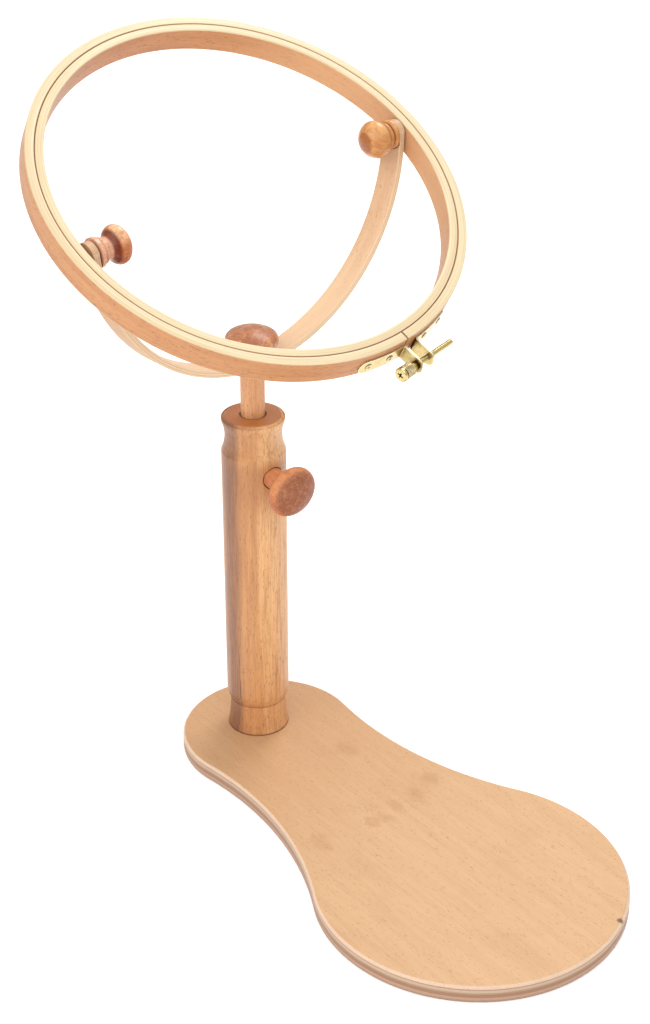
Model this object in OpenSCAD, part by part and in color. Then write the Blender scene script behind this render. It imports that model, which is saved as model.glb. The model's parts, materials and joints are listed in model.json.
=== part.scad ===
// Embroidery stand: a round two-ring frame that tilts in a half-ring yoke,
// on a sliding rod, on a column that stands on a plywood seat plate.
// The origin is on the floor, under the column's axis. +Z is up, and -Y points
// along the plate towards the user, who sits on its large front lobe.
// The rod stands in the middle of its travel and the frame is tilted to the user.

/* [Seat plate] */
// Thickness of the plywood plate
plate_t = 12; // [9:0.5:18]
// Radius of the large front lobe
front_lobe_r = 94; // [80:1:120]
// Radius of the small back lobe
back_lobe_r = 56.5; // [48:0.5:70]
// Distance between the centres of the two lobes
lobe_spacing = 196; // [180:1:230]
// Radius of the hollow sides between the lobes
waist_r = 220; // [180:5:320]
// Rounding of the plate's edges
plate_edge_r = 2; // [1:0.5:4]
// How far the column stands behind the back lobe's centre
column_setback = 12; // [0:1:18]

/* [Column] */
// Diameter of the turned column
column_d = 40; // [36:1:50]
// Height of the column above the plate
column_h = 225; // [200:1:260]
// Height of the turned foot
foot_h = 20.7; // [12:0.1:24]
// How much the foot widens down to the plate, on the radius
foot_flare = 1.8; // [0.5:0.1:3]
// How deep the column's body is rounded in above the foot, on the radius
foot_round_depth = 2.5; // [1:0.1:4]
// Height of that rounding
foot_round_h = 8; // [4:0.5:12]
// Diameter of the rim at the foot and at the top
column_rim_d = 39.2; // [34:0.2:48]
// Depth of the cove under the top rim, from the column's full size
cove_depth = 2.3; // [1:0.1:3]
// Height of the cove's middle under the column's top
cove_drop = 13; // [11:0.5:18]
// Depth of the rod's bore
rod_bore_h = 183; // [160:1:190]

/* [Column screws] */
// Diameter of the wood screws' shanks
wood_screw_d = 5; // [4:0.5:6]
// Length of the wood screws
wood_screw_h = 45; // [30:1:50]
// Diameter of the wood screws' heads
wood_screw_head_d = 9.6; // [8:0.2:11]
// Distance between the two wood screws
wood_screw_spacing = 20; // [14:1:24]

/* [Rod] */
// Diameter of the sliding rod
rod_d = 15; // [12:0.5:18]
// Length of the sliding rod
rod_h = 180; // [150:1:200]
// How far the rod stands out of the column
rod_out = 33; // [5:1:90]

/* [Yoke] */
// Outer radius of the half-ring yoke, which the inner ring goes round
yoke_r = 118.2; // [90:0.1:160]
// Thickness of the yoke's laminated band
yoke_t = 4.4; // [3.5:0.1:6]
// Width of the yoke's band
yoke_w = 15.5; // [12:0.5:20]
// How far the yoke is turned about the rod
yoke_turn = 4.4; // [-45:0.1:45]
// How far the rod's hole is off the middle of the band, as an angle
yoke_lean = 3.5; // [0:0.1:5]
// Distance from the ends of the yoke to the pivots
pivot_drop = 8; // [7:0.5:12]
// Diameter of the stud that holds the yoke
yoke_stud_d = 6; // [5:0.5:8]
// Depth of the stud in the rod
yoke_stud_in = 28; // [15:1:35]
// Length of the stud inside the top knob
yoke_stud_up = 12; // [8:0.5:13]

/* [Embroidery rings] */
// Gap between the yoke's band and the inner ring
yoke_gap = 1.6; // [1.4:0.1:4]
// Thickness of the inner ring
inner_ring_t = 5.2; // [4:0.1:8]
// Thickness of the outer ring
outer_ring_t = 5.5; // [4:0.1:7]
// Depth of both rings
ring_w = 16; // [12:0.5:20]
// Rounding of the rings' and the yoke's corners
ring_corner_r = 0.8; // [0.3:0.1:1.5]
// Tilt of the rings towards the user
ring_tilt = 30; // [-60:1:60]
// How far the rings hang to the left between the yoke's arms
ring_shift = 1; // [0:0.1:1]
// Width of the cut in the outer ring
split_w = 1.2; // [0.5:0.1:4]
// How far the outer ring is turned on the inner ring
ring_turn = 6.5; // [0:0.5:20]

/* [Pivots] */
// Diameter of the pivot screws
pivot_screw_d = 5; // [4:0.5:6]
// Length of the pivot screws
pivot_screw_h = 25; // [22:0.5:27]
// Diameter of the pivot screws' flat heads
pivot_head_d = 9; // [8:0.5:10]
// How far the left knob is backed off the yoke
left_knob_gap = 0.9; // [0.1:0.1:1.5]

/* [Pivot knobs] */
// Diameter of the pivot knobs' caps
small_cap_d = 23; // [20:0.2:26]
// Height of the pivot knobs
small_knob_h = 23; // [21:0.5:28]
// Diameter of the pivot knobs' flanges
small_flange_d = 18; // [16:0.2:20]
// Diameter of the pivot knobs' necks
small_neck_d = 12.8; // [11.5:0.2:14]

/* [Top knob and clamp knob] */
// Diameter of the caps of the top knob and the clamp knob
big_cap_d = 32.4; // [28:0.2:36]
// Height of the top knob
top_knob_h = 20.5; // [19:0.5:26]
// Diameter of the top knob's flange
top_flange_d = 18; // [16:0.5:22]
// Diameter of the top knob's neck
top_neck_d = 14.5; // [12:0.5:16]
// Height of the clamp knob
clamp_knob_h = 29; // [26:0.5:36]
// Diameter of the clamp knob's neck
clamp_neck_d = 13.4; // [12:0.2:14]
// Height of the clamp knob's axis under the column's top
clamp_drop = 36; // [28:1:60]
// How far the clamp knob points down
clamp_droop = 4.5; // [0:0.5:8]
// Diameter of the recess in the column for the clamp knob's neck
clamp_recess_d = 14.6; // [14.4:0.2:18]
// Depth of that recess
clamp_recess_h = 3.5; // [2:0.5:4]
// Diameter of the clamp stud
clamp_stud_d = 6; // [5:0.5:8]
// Length of the clamp stud inside its knob
clamp_stud_in = 14; // [10:1:18]

/* [Tension fitting] */
// Thickness of the brass strip
strip_t = 1; // [0.6:0.1:1.5]
// Width of the brass strip
strip_w = 10; // [8:0.5:12]
// Inner radius of the strip's bends
strip_bend_r = 0.8; // [0.5:0.1:1.5]
// Length of each tab along the ring
tab_len = 31; // [22:1:34]
// Distance from the ring to the tension screw's axis
lug_reach = 12; // [11:0.5:18]
// Clear gap between the two lugs
lug_gap = 9; // [6:0.5:12]
// Distance from the ring's mid height down to the strip's middle
strip_drop = 2; // [0:0.5:2.5]
// Diameter of the rivets' shanks
rivet_d = 2.4; // [2:0.2:3]
// Diameter of the rivets' heads
rivet_head_d = 4.2; // [3.6:0.2:5]
// Distance between the two rivets of a tab
rivet_pitch = 15.5; // [12:0.5:18]
// Diameter of the tension screw
tension_d = 3.5; // [3:0.1:4]
// Diameter of the tension screw's knurled head
tension_head_d = 8.6; // [6.5:0.1:10]
// Length of the knurled head
tension_head_h = 10; // [7:0.5:12]
// How far the tension screw runs past the right lug
tension_past = 21; // [10:0.5:26]

/* [Hidden] */
$fn = 96;

// Clearances on the radius: of fixed pieces, of turning and sliding pieces,
// between the two rings, and between a curved face and what faces it.
fixed_fit = 0.05;
running_fit = 0.08;
ring_fit = 0.3;
face_gap = 0.3;
// A small length that cutting shapes run past the faces they cut.
past = 1;
// Depth of the flats on the yoke, under the top knob and on the rod.
flat_depth = 0.3;

// Heights on the column's axis.
column_top_z = plate_t + column_h;
yoke_seat_z = column_top_z + rod_out;
clamp_z = column_top_z - clamp_drop;
yoke_z = yoke_seat_z + yoke_r - flat_depth;
bore_mouth = 0.8;

// Radii of the yoke's inner face and of the rings. The inner ring's outer diameter, the size
// that such a frame is sold by, comes to 250 mm.
yoke_inner_r = yoke_r - yoke_t;
ring_inner_r = yoke_r + yoke_gap;
ring_r = ring_inner_r + inner_ring_t;
outer_inner_r = ring_r + ring_fit;
outer_r = outer_inner_r + outer_ring_t;

// Inserts: wall and length, and the depth that a screw may run past one.
insert_wall = 1.5;
insert_h = 10;
past_insert = 3;
clamp_insert_h = column_d / 2 - clamp_recess_h - rod_d / 2 - 1;
clamp_insert_d = clamp_stud_d + 2 * insert_wall + 1;

// Distances along the pivots' axis from the yoke's middle plane.
pivot_seat = sqrt(pow(yoke_inner_r, 2) - pow(pivot_drop, 2));
seat_margin = 0.5;

// A circle's height on its arc, for the column's and the knobs' coves.
function chord_offset(r, half) = r - sqrt(r * r - half * half);

// Frames of the assembly.

// Moves its children to the yoke's centre, turned and leaning with the yoke.
module at_yoke() {
    translate([0, 0, yoke_z]) rotate([0, 0, yoke_turn]) rotate([0, -yoke_lean, 0]) children();
}

// Moves its children to the mouth of the clamp's recess: Z points out of the column.
module at_clamp() {
    translate([0, -column_d / 2, clamp_z]) rotate([90 + clamp_droop, 0, 0]) children();
}

// Moves its children to the rings' centre: X along the pivots, Z out of the top face.
module at_rings() {
    at_yoke() translate([-ring_shift, 0, -pivot_drop]) rotate([ring_tilt, 0, 0]) children();
}

// Moves its children to the outer ring's cut: X out of the ring, Y along it.
module at_fitting() {
    at_rings() rotate([0, 0, ring_turn - 90]) translate([0, 0, -strip_drop]) children();
}

// Turns an upright piece to lie on the pivots' axis, pointing at the yoke's middle.
// side is -1 for the left arm and 1 for the right arm.
module on_pivot(side, distance) {
    at_yoke() translate([side * distance, 0, -pivot_drop]) rotate([0, -side * 90, 0]) children();
}

// Shapes that several pieces share.

// A rectangle in X and Y with four round corners, standing on its lower left corner.
module rounded_rectangle(w, h, r) {
    translate([r, 0]) square([w - 2 * r, h]);
    translate([0, r]) square([w, h - 2 * r]);
    for (x = [r, w - r], y = [r, h - r]) translate([x, y]) circle(r, $fn = 48);
}

// Half the section of a turned knob's cap: a round rim that runs into a dome.
module cap_section(r, bottom, top, rim_r) {
    centre_x = r - rim_r;
    centre_y = bottom + rim_r;
    reach = top - rim_r;
    dome_y = (reach * reach - centre_x * centre_x - centre_y * centre_y) / (2 * (reach - centre_y));
    dome_r = top - dome_y;
    far = 2 * dome_r / (centre_y - dome_y + centre_x);
    translate([centre_x, centre_y]) circle(rim_r);
    intersection() {
        translate([0, dome_y]) circle(dome_r, $fn = 144);
        polygon([[0, bottom], [centre_x, bottom], [centre_x, centre_y],
                 [centre_x + far * centre_x, centre_y + far * (centre_y - dome_y)],
                 [0, centre_y + far * (centre_y - dome_y) + top]]);
    }
}

// A turned knob that stands on its flange: flange, hollow neck and domed cap.
module turned_knob(flange_d, neck_d, cap_d, h, cap_bottom, rim_r, flange_h, bore_r, bore_h) {
    neck_mid = (flange_h + cap_bottom) / 2;
    half = (cap_bottom - flange_h) / 2;
    depth = (flange_d - neck_d) / 2;
    cove_r = (depth * depth + half * half) / (2 * depth);
    rotate_extrude() difference() {
        union() {
            square([flange_d / 2, cap_bottom + rim_r]);
            cap_section(cap_d / 2, cap_bottom, h, rim_r);
        }
        translate([neck_d / 2 + cove_r, neck_mid]) intersection() {
            circle(cove_r, $fn = 144);
            square([2 * cove_r, 2 * half], center = true);
        }
        translate([-past, -past]) square([past + bore_r + fixed_fit, past + insert_h + fixed_fit]);
        translate([-past, -past]) square([past + bore_r - insert_wall + 2 * fixed_fit, past + bore_h]);
    }
}

// A threaded sleeve that stands on its lower end.
module threaded_insert(r, bore_r, h) {
    chamfer = 0.4;
    rotate_extrude() difference() {
        translate([bore_r, 0]) square([r - bore_r, h]);
        translate([bore_r + chamfer, 0]) rotate(-45) translate([-2 * chamfer, -2 * chamfer])
            square([2 * chamfer, 2 * chamfer]);
    }
}

// A screw with a flat countersunk head at the bottom and its shank pointing up.
module flat_head_screw(d, head_d, h, tip_h) {
    cylinder(r1 = head_d / 2, r2 = d / 2, h = (head_d - d) / 2);
    cylinder(d = d, h = h - tip_h);
    translate([0, 0, h - tip_h]) cylinder(r1 = d / 2, r2 = d / 2 - tip_h / 3, h = tip_h);
}

// The hole for such a screw, through what it holds.
module flat_head_hole(d, head_d, h, fit) {
    translate([0, 0, -past]) cylinder(d = d + 2 * fit, h = h + past);
    cylinder(r1 = head_d / 2 + fit, r2 = d / 2 + fit, h = (head_d - d) / 2);
    translate([0, 0, -past]) cylinder(r = head_d / 2 + fit, h = past);
}

// Seat plate and column.

// What a hollow side takes away all round its centre, with the plate's edges left round.
// It reaches a hair into the lobes, so that its faces cross theirs instead of touching them.
module waist_cutter() {
    cut_r = waist_r + hair;
    rotate_extrude($fn = 360) difference() {
        translate([0, -past]) square([cut_r + plate_edge_r, plate_t + 2 * past]);
        translate([cut_r, plate_edge_r - hair])
            square([plate_edge_r + past, plate_t - 2 * plate_edge_r + 2 * hair]);
        for (y = [plate_edge_r - hair, plate_t - plate_edge_r + hair])
            translate([cut_r + plate_edge_r, y]) circle(plate_edge_r, $fn = 48);
    }
}

// A round lobe of the plate, with round edges.
module plate_lobe(r) {
    rotate_extrude($fn = 180) {
        square([r - plate_edge_r, plate_t]);
        translate([0, plate_edge_r]) square([r, plate_t - 2 * plate_edge_r]);
        for (y = [plate_edge_r, plate_t - plate_edge_r])
            translate([r - plate_edge_r, y]) circle(plate_edge_r, $fn = 48);
    }
}

// The hollow sides touch both lobes, so their centres lie on a triangle of known sides.
to_back = back_lobe_r + waist_r;
to_front = front_lobe_r + waist_r;
waist_y = (to_back * to_back - to_front * to_front + lobe_spacing * lobe_spacing) / (2 * lobe_spacing);
waist_x = sqrt(to_back * to_back - waist_y * waist_y);
back_lobe_y = -column_setback;
front_lobe_y = back_lobe_y - lobe_spacing;
hair = 0.04;

module base_plate() {
    color("burlywood") difference() {
        union() {
            translate([0, back_lobe_y, 0]) plate_lobe(back_lobe_r);
            translate([0, front_lobe_y, 0]) plate_lobe(front_lobe_r);
            linear_extrude(plate_t)
                polygon([[0, back_lobe_y], [-waist_x, back_lobe_y - waist_y],
                         [0, front_lobe_y], [waist_x, back_lobe_y - waist_y]]);
        }
        for (side = [-1, 1])
            translate([side * waist_x, back_lobe_y - waist_y, 0]) waist_cutter();
        for (side = [-1, 1])
            translate([side * wood_screw_spacing / 2, 0, 0])
                flat_head_hole(wood_screw_d, wood_screw_head_d, plate_t + past, fixed_fit);
    }
}

module column_screws() {
    color("silver") for (side = [-1, 1])
        translate([side * wood_screw_spacing / 2, 0, 0])
            flat_head_screw(wood_screw_d, wood_screw_head_d, wood_screw_h, 4);
}

// Radius of an arc that is depth deep over its height, from the end where it is upright.
function arc_radius(depth, h) = (depth * depth + h * h) / (2 * depth);

// Half the column's section: a flared foot, the body with its rounded lower end, which
// meets the foot in a crease, a cove and the top rim.
module column_section() {
    body_r = column_d / 2;
    rim_r = column_rim_d / 2;
    round_r = arc_radius(foot_round_depth, foot_round_h);
    flare_r = arc_radius(foot_flare, foot_h);
    cove_r = arc_radius(cove_depth, cove_drop - 2.4);
    difference() {
        union() {
            square([rim_r + past, foot_h]);
            translate([0, foot_h]) square([body_r, column_h - foot_h - cove_drop]);
            translate([0, column_h - cove_drop]) square([rim_r, cove_drop]);
        }
        intersection() {
            translate([0, -past]) square([rim_r + 2 * past, foot_h + past]);
            translate([rim_r - foot_flare + flare_r, foot_h]) circle(flare_r, $fn = 360);
        }
        difference() {
            translate([body_r - foot_round_depth, foot_h]) square([2 * foot_round_depth, foot_round_h]);
            translate([body_r - round_r + hair, foot_h + foot_round_h]) circle(round_r, $fn = 240);
        }
        translate([body_r - cove_depth + cove_r, column_h - cove_drop]) circle(cove_r, $fn = 240);
        translate([rim_r - 0.6, column_h]) rotate(-45) square([3, 3], center = true);
    }
}

module column() {
    color("peru") difference() {
        translate([0, 0, plate_t]) rotate_extrude($fn = 180) column_section();
        translate([0, 0, column_top_z - rod_bore_h])
            cylinder(d = rod_d + 2 * running_fit, h = rod_bore_h + past);
        translate([0, 0, column_top_z - 2 * bore_mouth])
            cylinder(r = rod_d / 2 + bore_mouth, h = 2 * bore_mouth + past);
        at_clamp() {
            translate([0, 0, -column_d / 2])
                cylinder(d = clamp_insert_d + 2 * fixed_fit, h = column_d);
            translate([0, 0, -clamp_recess_h])
                cylinder(d = clamp_recess_d, h = clamp_recess_h + 2 * past);
        }
        for (side = [-1, 1])
            translate([side * wood_screw_spacing / 2, 0, 0]) {
                cylinder(d = wood_screw_d + 2 * fixed_fit, h = wood_screw_h + fixed_fit);
            }
    }
}

module clamp_insert() {
    color("goldenrod") at_clamp() translate([0, 0, -clamp_recess_h]) rotate([180, 0, 0])
        threaded_insert(clamp_insert_d / 2, clamp_stud_d / 2 + running_fit, clamp_insert_h);
}

// Rod, stud and yoke.

module rod() {
    chamfer = 1;
    color("burlywood") translate([0, 0, yoke_seat_z - rod_h]) difference() {
        union() {
            cylinder(r1 = rod_d / 2 - chamfer, r2 = rod_d / 2, h = chamfer);
            translate([0, 0, chamfer]) cylinder(d = rod_d, h = rod_h - chamfer);
        }
        translate([0, 0, rod_h - yoke_stud_in - fixed_fit])
            cylinder(d = yoke_stud_d + 2 * fixed_fit, h = yoke_stud_in + past);
    }
}

top_seat_z = yoke_z - yoke_inner_r - flat_depth;

module yoke_stud() {
    chamfer = 0.8;
    below = yoke_seat_z - yoke_stud_in;
    above = top_seat_z + yoke_stud_up;
    color("silver") {
        translate([0, 0, below]) cylinder(d = yoke_stud_d, h = above - below - chamfer);
        translate([0, 0, above - chamfer])
            cylinder(r1 = yoke_stud_d / 2, r2 = yoke_stud_d / 2 - chamfer, h = chamfer);
    }
}

module yoke() {
    end_r = yoke_w / 2 + hair;
    hole_r = pivot_screw_d / 2 + running_fit;
    color("wheat") difference() {
        at_yoke() difference() {
            intersection() {
                rotate([90, 0, 0]) translate([0, 0, -yoke_w / 2]) rotate_extrude($fn = 180)
                    translate([yoke_inner_r, 0]) rounded_rectangle(yoke_t, yoke_w, ring_corner_r);
                union() {
                    translate([-yoke_r - past, -yoke_w, -yoke_r - past])
                        cube([2 * (yoke_r + past), 2 * yoke_w, yoke_r + past - pivot_drop]);
                    translate([-yoke_r - past, 0, -pivot_drop]) rotate([0, 90, 0])
                        cylinder(r = end_r, h = 2 * (yoke_r + past));
                }
            }
            translate([-yoke_r - past, 0, -pivot_drop]) rotate([0, 90, 0])
                cylinder(r = hole_r, h = 2 * (yoke_r + past));
            translate([-pivot_seat, 0, -pivot_drop]) rotate([0, 90, 0])
                cylinder(r = small_flange_d / 2 + seat_margin, h = 2 * pivot_seat);
        }
        translate([0, 0, yoke_seat_z - yoke_r]) cylinder(r = rod_d / 2 + seat_margin, h = yoke_r);
        translate([0, 0, top_seat_z]) cylinder(r = top_flange_d / 2 + seat_margin, h = yoke_r);
        cylinder(r = yoke_stud_d / 2 + running_fit, h = yoke_z);
    }
}

// Knobs of the rod and the column.

top_cap_bottom = 7.5;
top_rim_r = 5;

module top_knob() {
    color("sienna") translate([0, 0, top_seat_z])
        turned_knob(top_flange_d, top_neck_d, big_cap_d, top_knob_h, top_cap_bottom, top_rim_r, 1.6,
                    yoke_stud_d / 2 + insert_wall, yoke_stud_up + past_insert);
}

module top_knob_insert() {
    color("goldenrod") translate([0, 0, top_seat_z])
        threaded_insert(yoke_stud_d / 2 + insert_wall, yoke_stud_d / 2 + running_fit, insert_h);
}

// The clamp knob's neck stops inside the column's recess, short of its floor, and its
// stud's tip stops short of the rod. Both are distances from the recess's mouth.
clamp_seat = clamp_recess_h / 2;
clamp_tip = (column_d / 2 - rod_d / 2 - face_gap - clamp_stud_d / 2 * sin(clamp_droop)) / cos(clamp_droop);

module clamp_knob() {
    cap_h = 14;
    color("sienna") at_clamp() translate([0, 0, -clamp_seat]) difference() {
        rotate_extrude() {
            square([clamp_neck_d / 2, clamp_knob_h - cap_h + 4]);
            difference() {
                translate([0, clamp_knob_h - cap_h - 4]) square([clamp_neck_d / 2 + 4, 8]);
                translate([clamp_neck_d / 2 + 4, clamp_knob_h - cap_h - 4]) circle(4);
            }
            cap_section(big_cap_d / 2, clamp_knob_h - cap_h, clamp_knob_h, 5);
        }
        translate([0, 0, -past])
            cylinder(d = clamp_stud_d + 2 * fixed_fit, h = clamp_stud_in + fixed_fit + past);
    }
}

module clamp_stud() {
    chamfer = 0.8;
    color("silver") at_clamp() translate([0, 0, -clamp_tip]) {
        cylinder(r1 = clamp_stud_d / 2 - chamfer, r2 = clamp_stud_d / 2, h = chamfer);
        translate([0, 0, chamfer])
            cylinder(d = clamp_stud_d, h = clamp_tip - clamp_seat + clamp_stud_in - chamfer);
    }
}

// Rings.

// Places its children on the inner ring's outer wall, pointing inwards along the pivots.
module at_pivot_heads() {
    head_sink = 0.3;
    at_rings() rotate([-ring_tilt, 0, 0]) for (side = [-1, 1])
        translate([side * (ring_r - head_sink), 0, 0]) rotate([0, -side * 90, 0]) children();
}

module inner_ring() {
    color("wheat") difference() {
        at_rings() translate([0, 0, -ring_w / 2]) rotate_extrude($fn = 180)
            translate([ring_inner_r, 0]) rounded_rectangle(inner_ring_t, ring_w, ring_corner_r);
        at_pivot_heads() flat_head_hole(pivot_screw_d, pivot_head_d, pivot_screw_h, fixed_fit);
    }
}

module pivot_screws() {
    color("silver") at_pivot_heads() flat_head_screw(pivot_screw_d, pivot_head_d, pivot_screw_h, 0.8);
}

module outer_ring() {
    color("burlywood") difference() {
        at_rings() translate([0, 0, -ring_w / 2]) rotate_extrude($fn = 180)
            translate([outer_inner_r, 0]) rounded_rectangle(outer_ring_t, ring_w, ring_corner_r);
        at_fitting() translate([ring_r, -split_w / 2 - split_offset, -ring_w])
            cube([outer_ring_t + 2, split_w, 2 * ring_w]);
        at_rivets() translate([0, 0, -past]) cylinder(d = rivet_d + 2 * fixed_fit, h = outer_ring_t + 2 * past);
        at_rivets() translate([0, 0, -past]) cylinder(d = rivet_head_d, h = past + rivet_clench_h);
    }
}

// Pivot knobs.

// A pivot knob and its insert stand on the yoke's seat, or a gap away from it. The left
// knob has a waisted neck with a collar, and a flat cap that folds over it.
module waisted_knob() {
    collar_z = 4.6;
    collar_r = 1;
    turned_knob(small_flange_d, small_neck_d, small_cap_d, small_knob_h, 11.4, 4.4, 2.4,
                pivot_screw_d / 2 + insert_wall, small_knob_h - 5.5);
    rotate_extrude() translate([small_neck_d / 2 + 0.5, collar_z]) circle(collar_r, $fn = 48);
}

// The right knob is a ball on two beads, of which the lower one is its flange.
module beaded_knob() {
    flange_h = 3.4;
    bead_h = 3.2;
    groove_h = 0.4;
    core_r = small_neck_d / 2 + 0.4;
    bead_r = small_neck_d / 2 + 1.7;
    ball_z = flange_h + bead_h + 2 * groove_h;
    bore_r = pivot_screw_d / 2 + insert_wall;
    rotate_extrude() difference() {
        union() {
            square([core_r, ball_z + 3]);
            square([small_flange_d / 2 - flange_h / 2, flange_h]);
            translate([small_flange_d / 2 - flange_h / 2, flange_h / 2]) circle(flange_h / 2, $fn = 72);
            translate([bead_r - bead_h / 2, flange_h + groove_h + bead_h / 2]) circle(bead_h / 2, $fn = 72);
            cap_section(small_cap_d / 2, ball_z, small_knob_h, small_cap_d / 4);
        }
        translate([-past, -past]) square([past + bore_r + fixed_fit, past + insert_h + fixed_fit]);
        translate([-past, -past])
            square([past + bore_r - insert_wall + 2 * fixed_fit, past + small_knob_h - 5.5]);
    }
}

module pivot_insert() {
    threaded_insert(pivot_screw_d / 2 + insert_wall, pivot_screw_d / 2 + running_fit, insert_h);
}

left_knob_seat = pivot_seat - left_knob_gap;

module left_knob() {
    color("sienna") on_pivot(-1, left_knob_seat) waisted_knob();
}

module left_knob_insert() {
    color("goldenrod") on_pivot(-1, left_knob_seat) pivot_insert();
}

module right_knob() {
    color("peru") on_pivot(1, pivot_seat) beaded_knob();
}

module right_knob_insert() {
    color("goldenrod") on_pivot(1, pivot_seat) pivot_insert();
}

// Tension fitting: a bent strip on each side of the cut, and the screw through both lugs.

// How far the outer ring's cut is from the middle between the lugs.
split_offset = 3.8;
// Angle at the ring's centre where a strip's bend runs into its tab.
bend_centre_r = outer_r + strip_t + strip_bend_r;
bend_angle = asin((lug_gap / 2 + strip_t + strip_bend_r) / bend_centre_r);
tab_angle = tab_len / outer_r * 180 / PI;
screw_r = outer_r + lug_reach;
rivet_clench_h = 0.8;
rivet_shift = 1.2;
rivet_edge = (tab_len - rivet_pitch) / 2 + rivet_shift;
weld = 0.01;

// Places its children at the four rivets, pointing out of the ring from its inner wall.
module at_rivets() {
    first = bend_angle + rivet_edge / outer_r * 180 / PI;
    step = rivet_pitch / outer_r * 180 / PI;
    at_fitting() for (side = [-1, 1], i = [0, 1])
        rotate([0, 0, side * (first + i * step)]) translate([outer_inner_r, 0, 0]) rotate([0, 90, 0])
            children();
}

// The lug and the bend of the right strip, seen along the ring's axis. Its last points lie
// a weld's width inside the tab, so that both are one piece.
module lug_section() {
    bend_x = bend_centre_r * cos(bend_angle);
    bend_y = bend_centre_r * sin(bend_angle);
    steps = 8;
    step = (90 - bend_angle) / steps;
    outside_r = strip_bend_r + strip_t;
    tip_r = screw_r + strip_w / 2 + past;
    polygon(concat(
        [[tip_r, lug_gap / 2], [bend_x, lug_gap / 2]],
        [for (i = [1 : steps]) [bend_x + (outside_r - (i == steps ? weld : 0)) * cos(270 - i * step),
                                bend_y + (outside_r - (i == steps ? weld : 0)) * sin(270 - i * step)]],
        [for (r = [outer_r + weld, outer_r + strip_t - weld])
            [r * cos(bend_angle + 1), r * sin(bend_angle + 1)]],
        [for (i = [steps : -1 : 1]) [bend_x + (strip_bend_r + (i == steps ? weld : 0)) * cos(270 - i * step),
                                     bend_y + (strip_bend_r + (i == steps ? weld : 0)) * sin(270 - i * step)]],
        [[bend_x, lug_gap / 2 + strip_t], [tip_r, lug_gap / 2 + strip_t]]));
}

// What rounds the end of a strip that lies along Y, from its last half width on.
module end_cutter() {
    difference() {
        translate([-strip_w, 0, -strip_w]) cube([2 * strip_w, 2 * strip_w, 2 * strip_w]);
        rotate([0, 90, 0]) cylinder(r = strip_w / 2 + hair, h = 4 * strip_w, center = true);
    }
}

// The right strip: a lug and a tab, both with round ends, and the bend between them.
module strip() {
    end_angle = strip_w / 2 / outer_r * 180 / PI;
    difference() {
        union() {
            translate([0, 0, -strip_w / 2]) linear_extrude(strip_w) lug_section();
            translate([0, 0, -strip_w / 2]) rotate([0, 0, bend_angle])
                rotate_extrude(angle = tab_angle + 1, $fn = 360)
                    translate([outer_r, 0]) square([strip_t, strip_w]);
        }
        translate([screw_r, lug_gap / 2, 0]) rotate([0, 0, -90]) end_cutter();
        rotate([0, 0, bend_angle + tab_angle - end_angle]) translate([outer_r, 0, 0]) end_cutter();
        translate([screw_r, 0, 0]) rotate([-90, 0, 0])
            cylinder(r = tension_d / 2 + running_fit, h = lug_gap);
    }
}

module left_bracket() {
    color("khaki") difference() {
        at_fitting() mirror([0, 1, 0]) strip();
        at_rivets() cylinder(d = rivet_d + 2 * fixed_fit, h = outer_ring_t + 2 * past);
    }
}

module right_bracket() {
    color("khaki") difference() {
        at_fitting() strip();
        at_rivets() cylinder(d = rivet_d + 2 * fixed_fit, h = outer_ring_t + 2 * past);
    }
}

// Tubular rivets with domed heads: the clenched, hollow end sits sunk in the ring's inner wall.
module bracket_rivets() {
    head_h = 0.7;
    hollow_r = 0.7;
    outside = outer_ring_t + strip_t + face_gap / 6;
    color("darkkhaki") at_rivets() rotate_extrude($fn = 48) difference() {
        union() {
            translate([0, face_gap]) square([rivet_d / 2, outside - face_gap]);
            translate([0, face_gap]) square([rivet_head_d / 2 - fixed_fit, rivet_clench_h - face_gap]);
            translate([0, outside]) intersection() {
                square([rivet_head_d / 2, head_h]);
                translate([0, head_h - 3.6]) circle(3.6, $fn = 96);
            }
        }
        translate([-past, face_gap - past]) square([past + hollow_r, past + outer_ring_t / 2]);
    }
}

// The screw's knurled head is on the left, off its lug by a plain shoulder.
module tension_screw() {
    shoulder_h = 3.4;
    chamfer = 0.6;
    lug_face = lug_gap / 2 + strip_t;
    head_r = tension_head_d / 2;
    shank_h = 2 * lug_face + tension_past;
    recess_w = 1.1;
    recess_len = 4.2;
    recess_h = 1.8;
    color("gold") at_fitting() translate([screw_r, -lug_face - face_gap / 3, 0]) rotate([-90, 0, 0]) difference() {
        union() {
            cylinder(d = tension_d, h = shank_h - chamfer);
            translate([0, 0, shank_h - chamfer])
                cylinder(r1 = tension_d / 2, r2 = tension_d / 2 - chamfer, h = chamfer);
            translate([0, 0, -shoulder_h]) cylinder(d = tension_d + 1.6, h = shoulder_h);
            translate([0, 0, -shoulder_h - tension_head_h]) {
                cylinder(r1 = head_r - chamfer, r2 = head_r, h = chamfer);
                translate([0, 0, chamfer]) cylinder(r = head_r, h = tension_head_h - 2 * chamfer);
                translate([0, 0, tension_head_h - chamfer])
                    cylinder(r1 = head_r, r2 = head_r - chamfer, h = chamfer);
            }
        }
        translate([0, 0, -shoulder_h - tension_head_h]) for (turn = [0, 90])
            rotate([0, 0, turn]) cube([recess_len, recess_w, 2 * recess_h], center = true);
    }
}

base_plate();
column();
column_screws();
clamp_insert();
rod();
yoke_stud();
yoke();
top_knob();
top_knob_insert();
clamp_knob();
clamp_stud();
inner_ring();
pivot_screws();
left_knob();
left_knob_insert();
right_knob();
right_knob_insert();
outer_ring();
left_bracket();
right_bracket();
bracket_rivets();
tension_screw();
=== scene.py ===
"""An embroidery stand of beech and plywood, dressed over its CAD frame.

Every size is in metres and every place is in the frame of the CAD model: the origin is on the floor
under the column, Z is up and -Y points along the seat plate to the user.
"""

from __future__ import annotations

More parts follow.
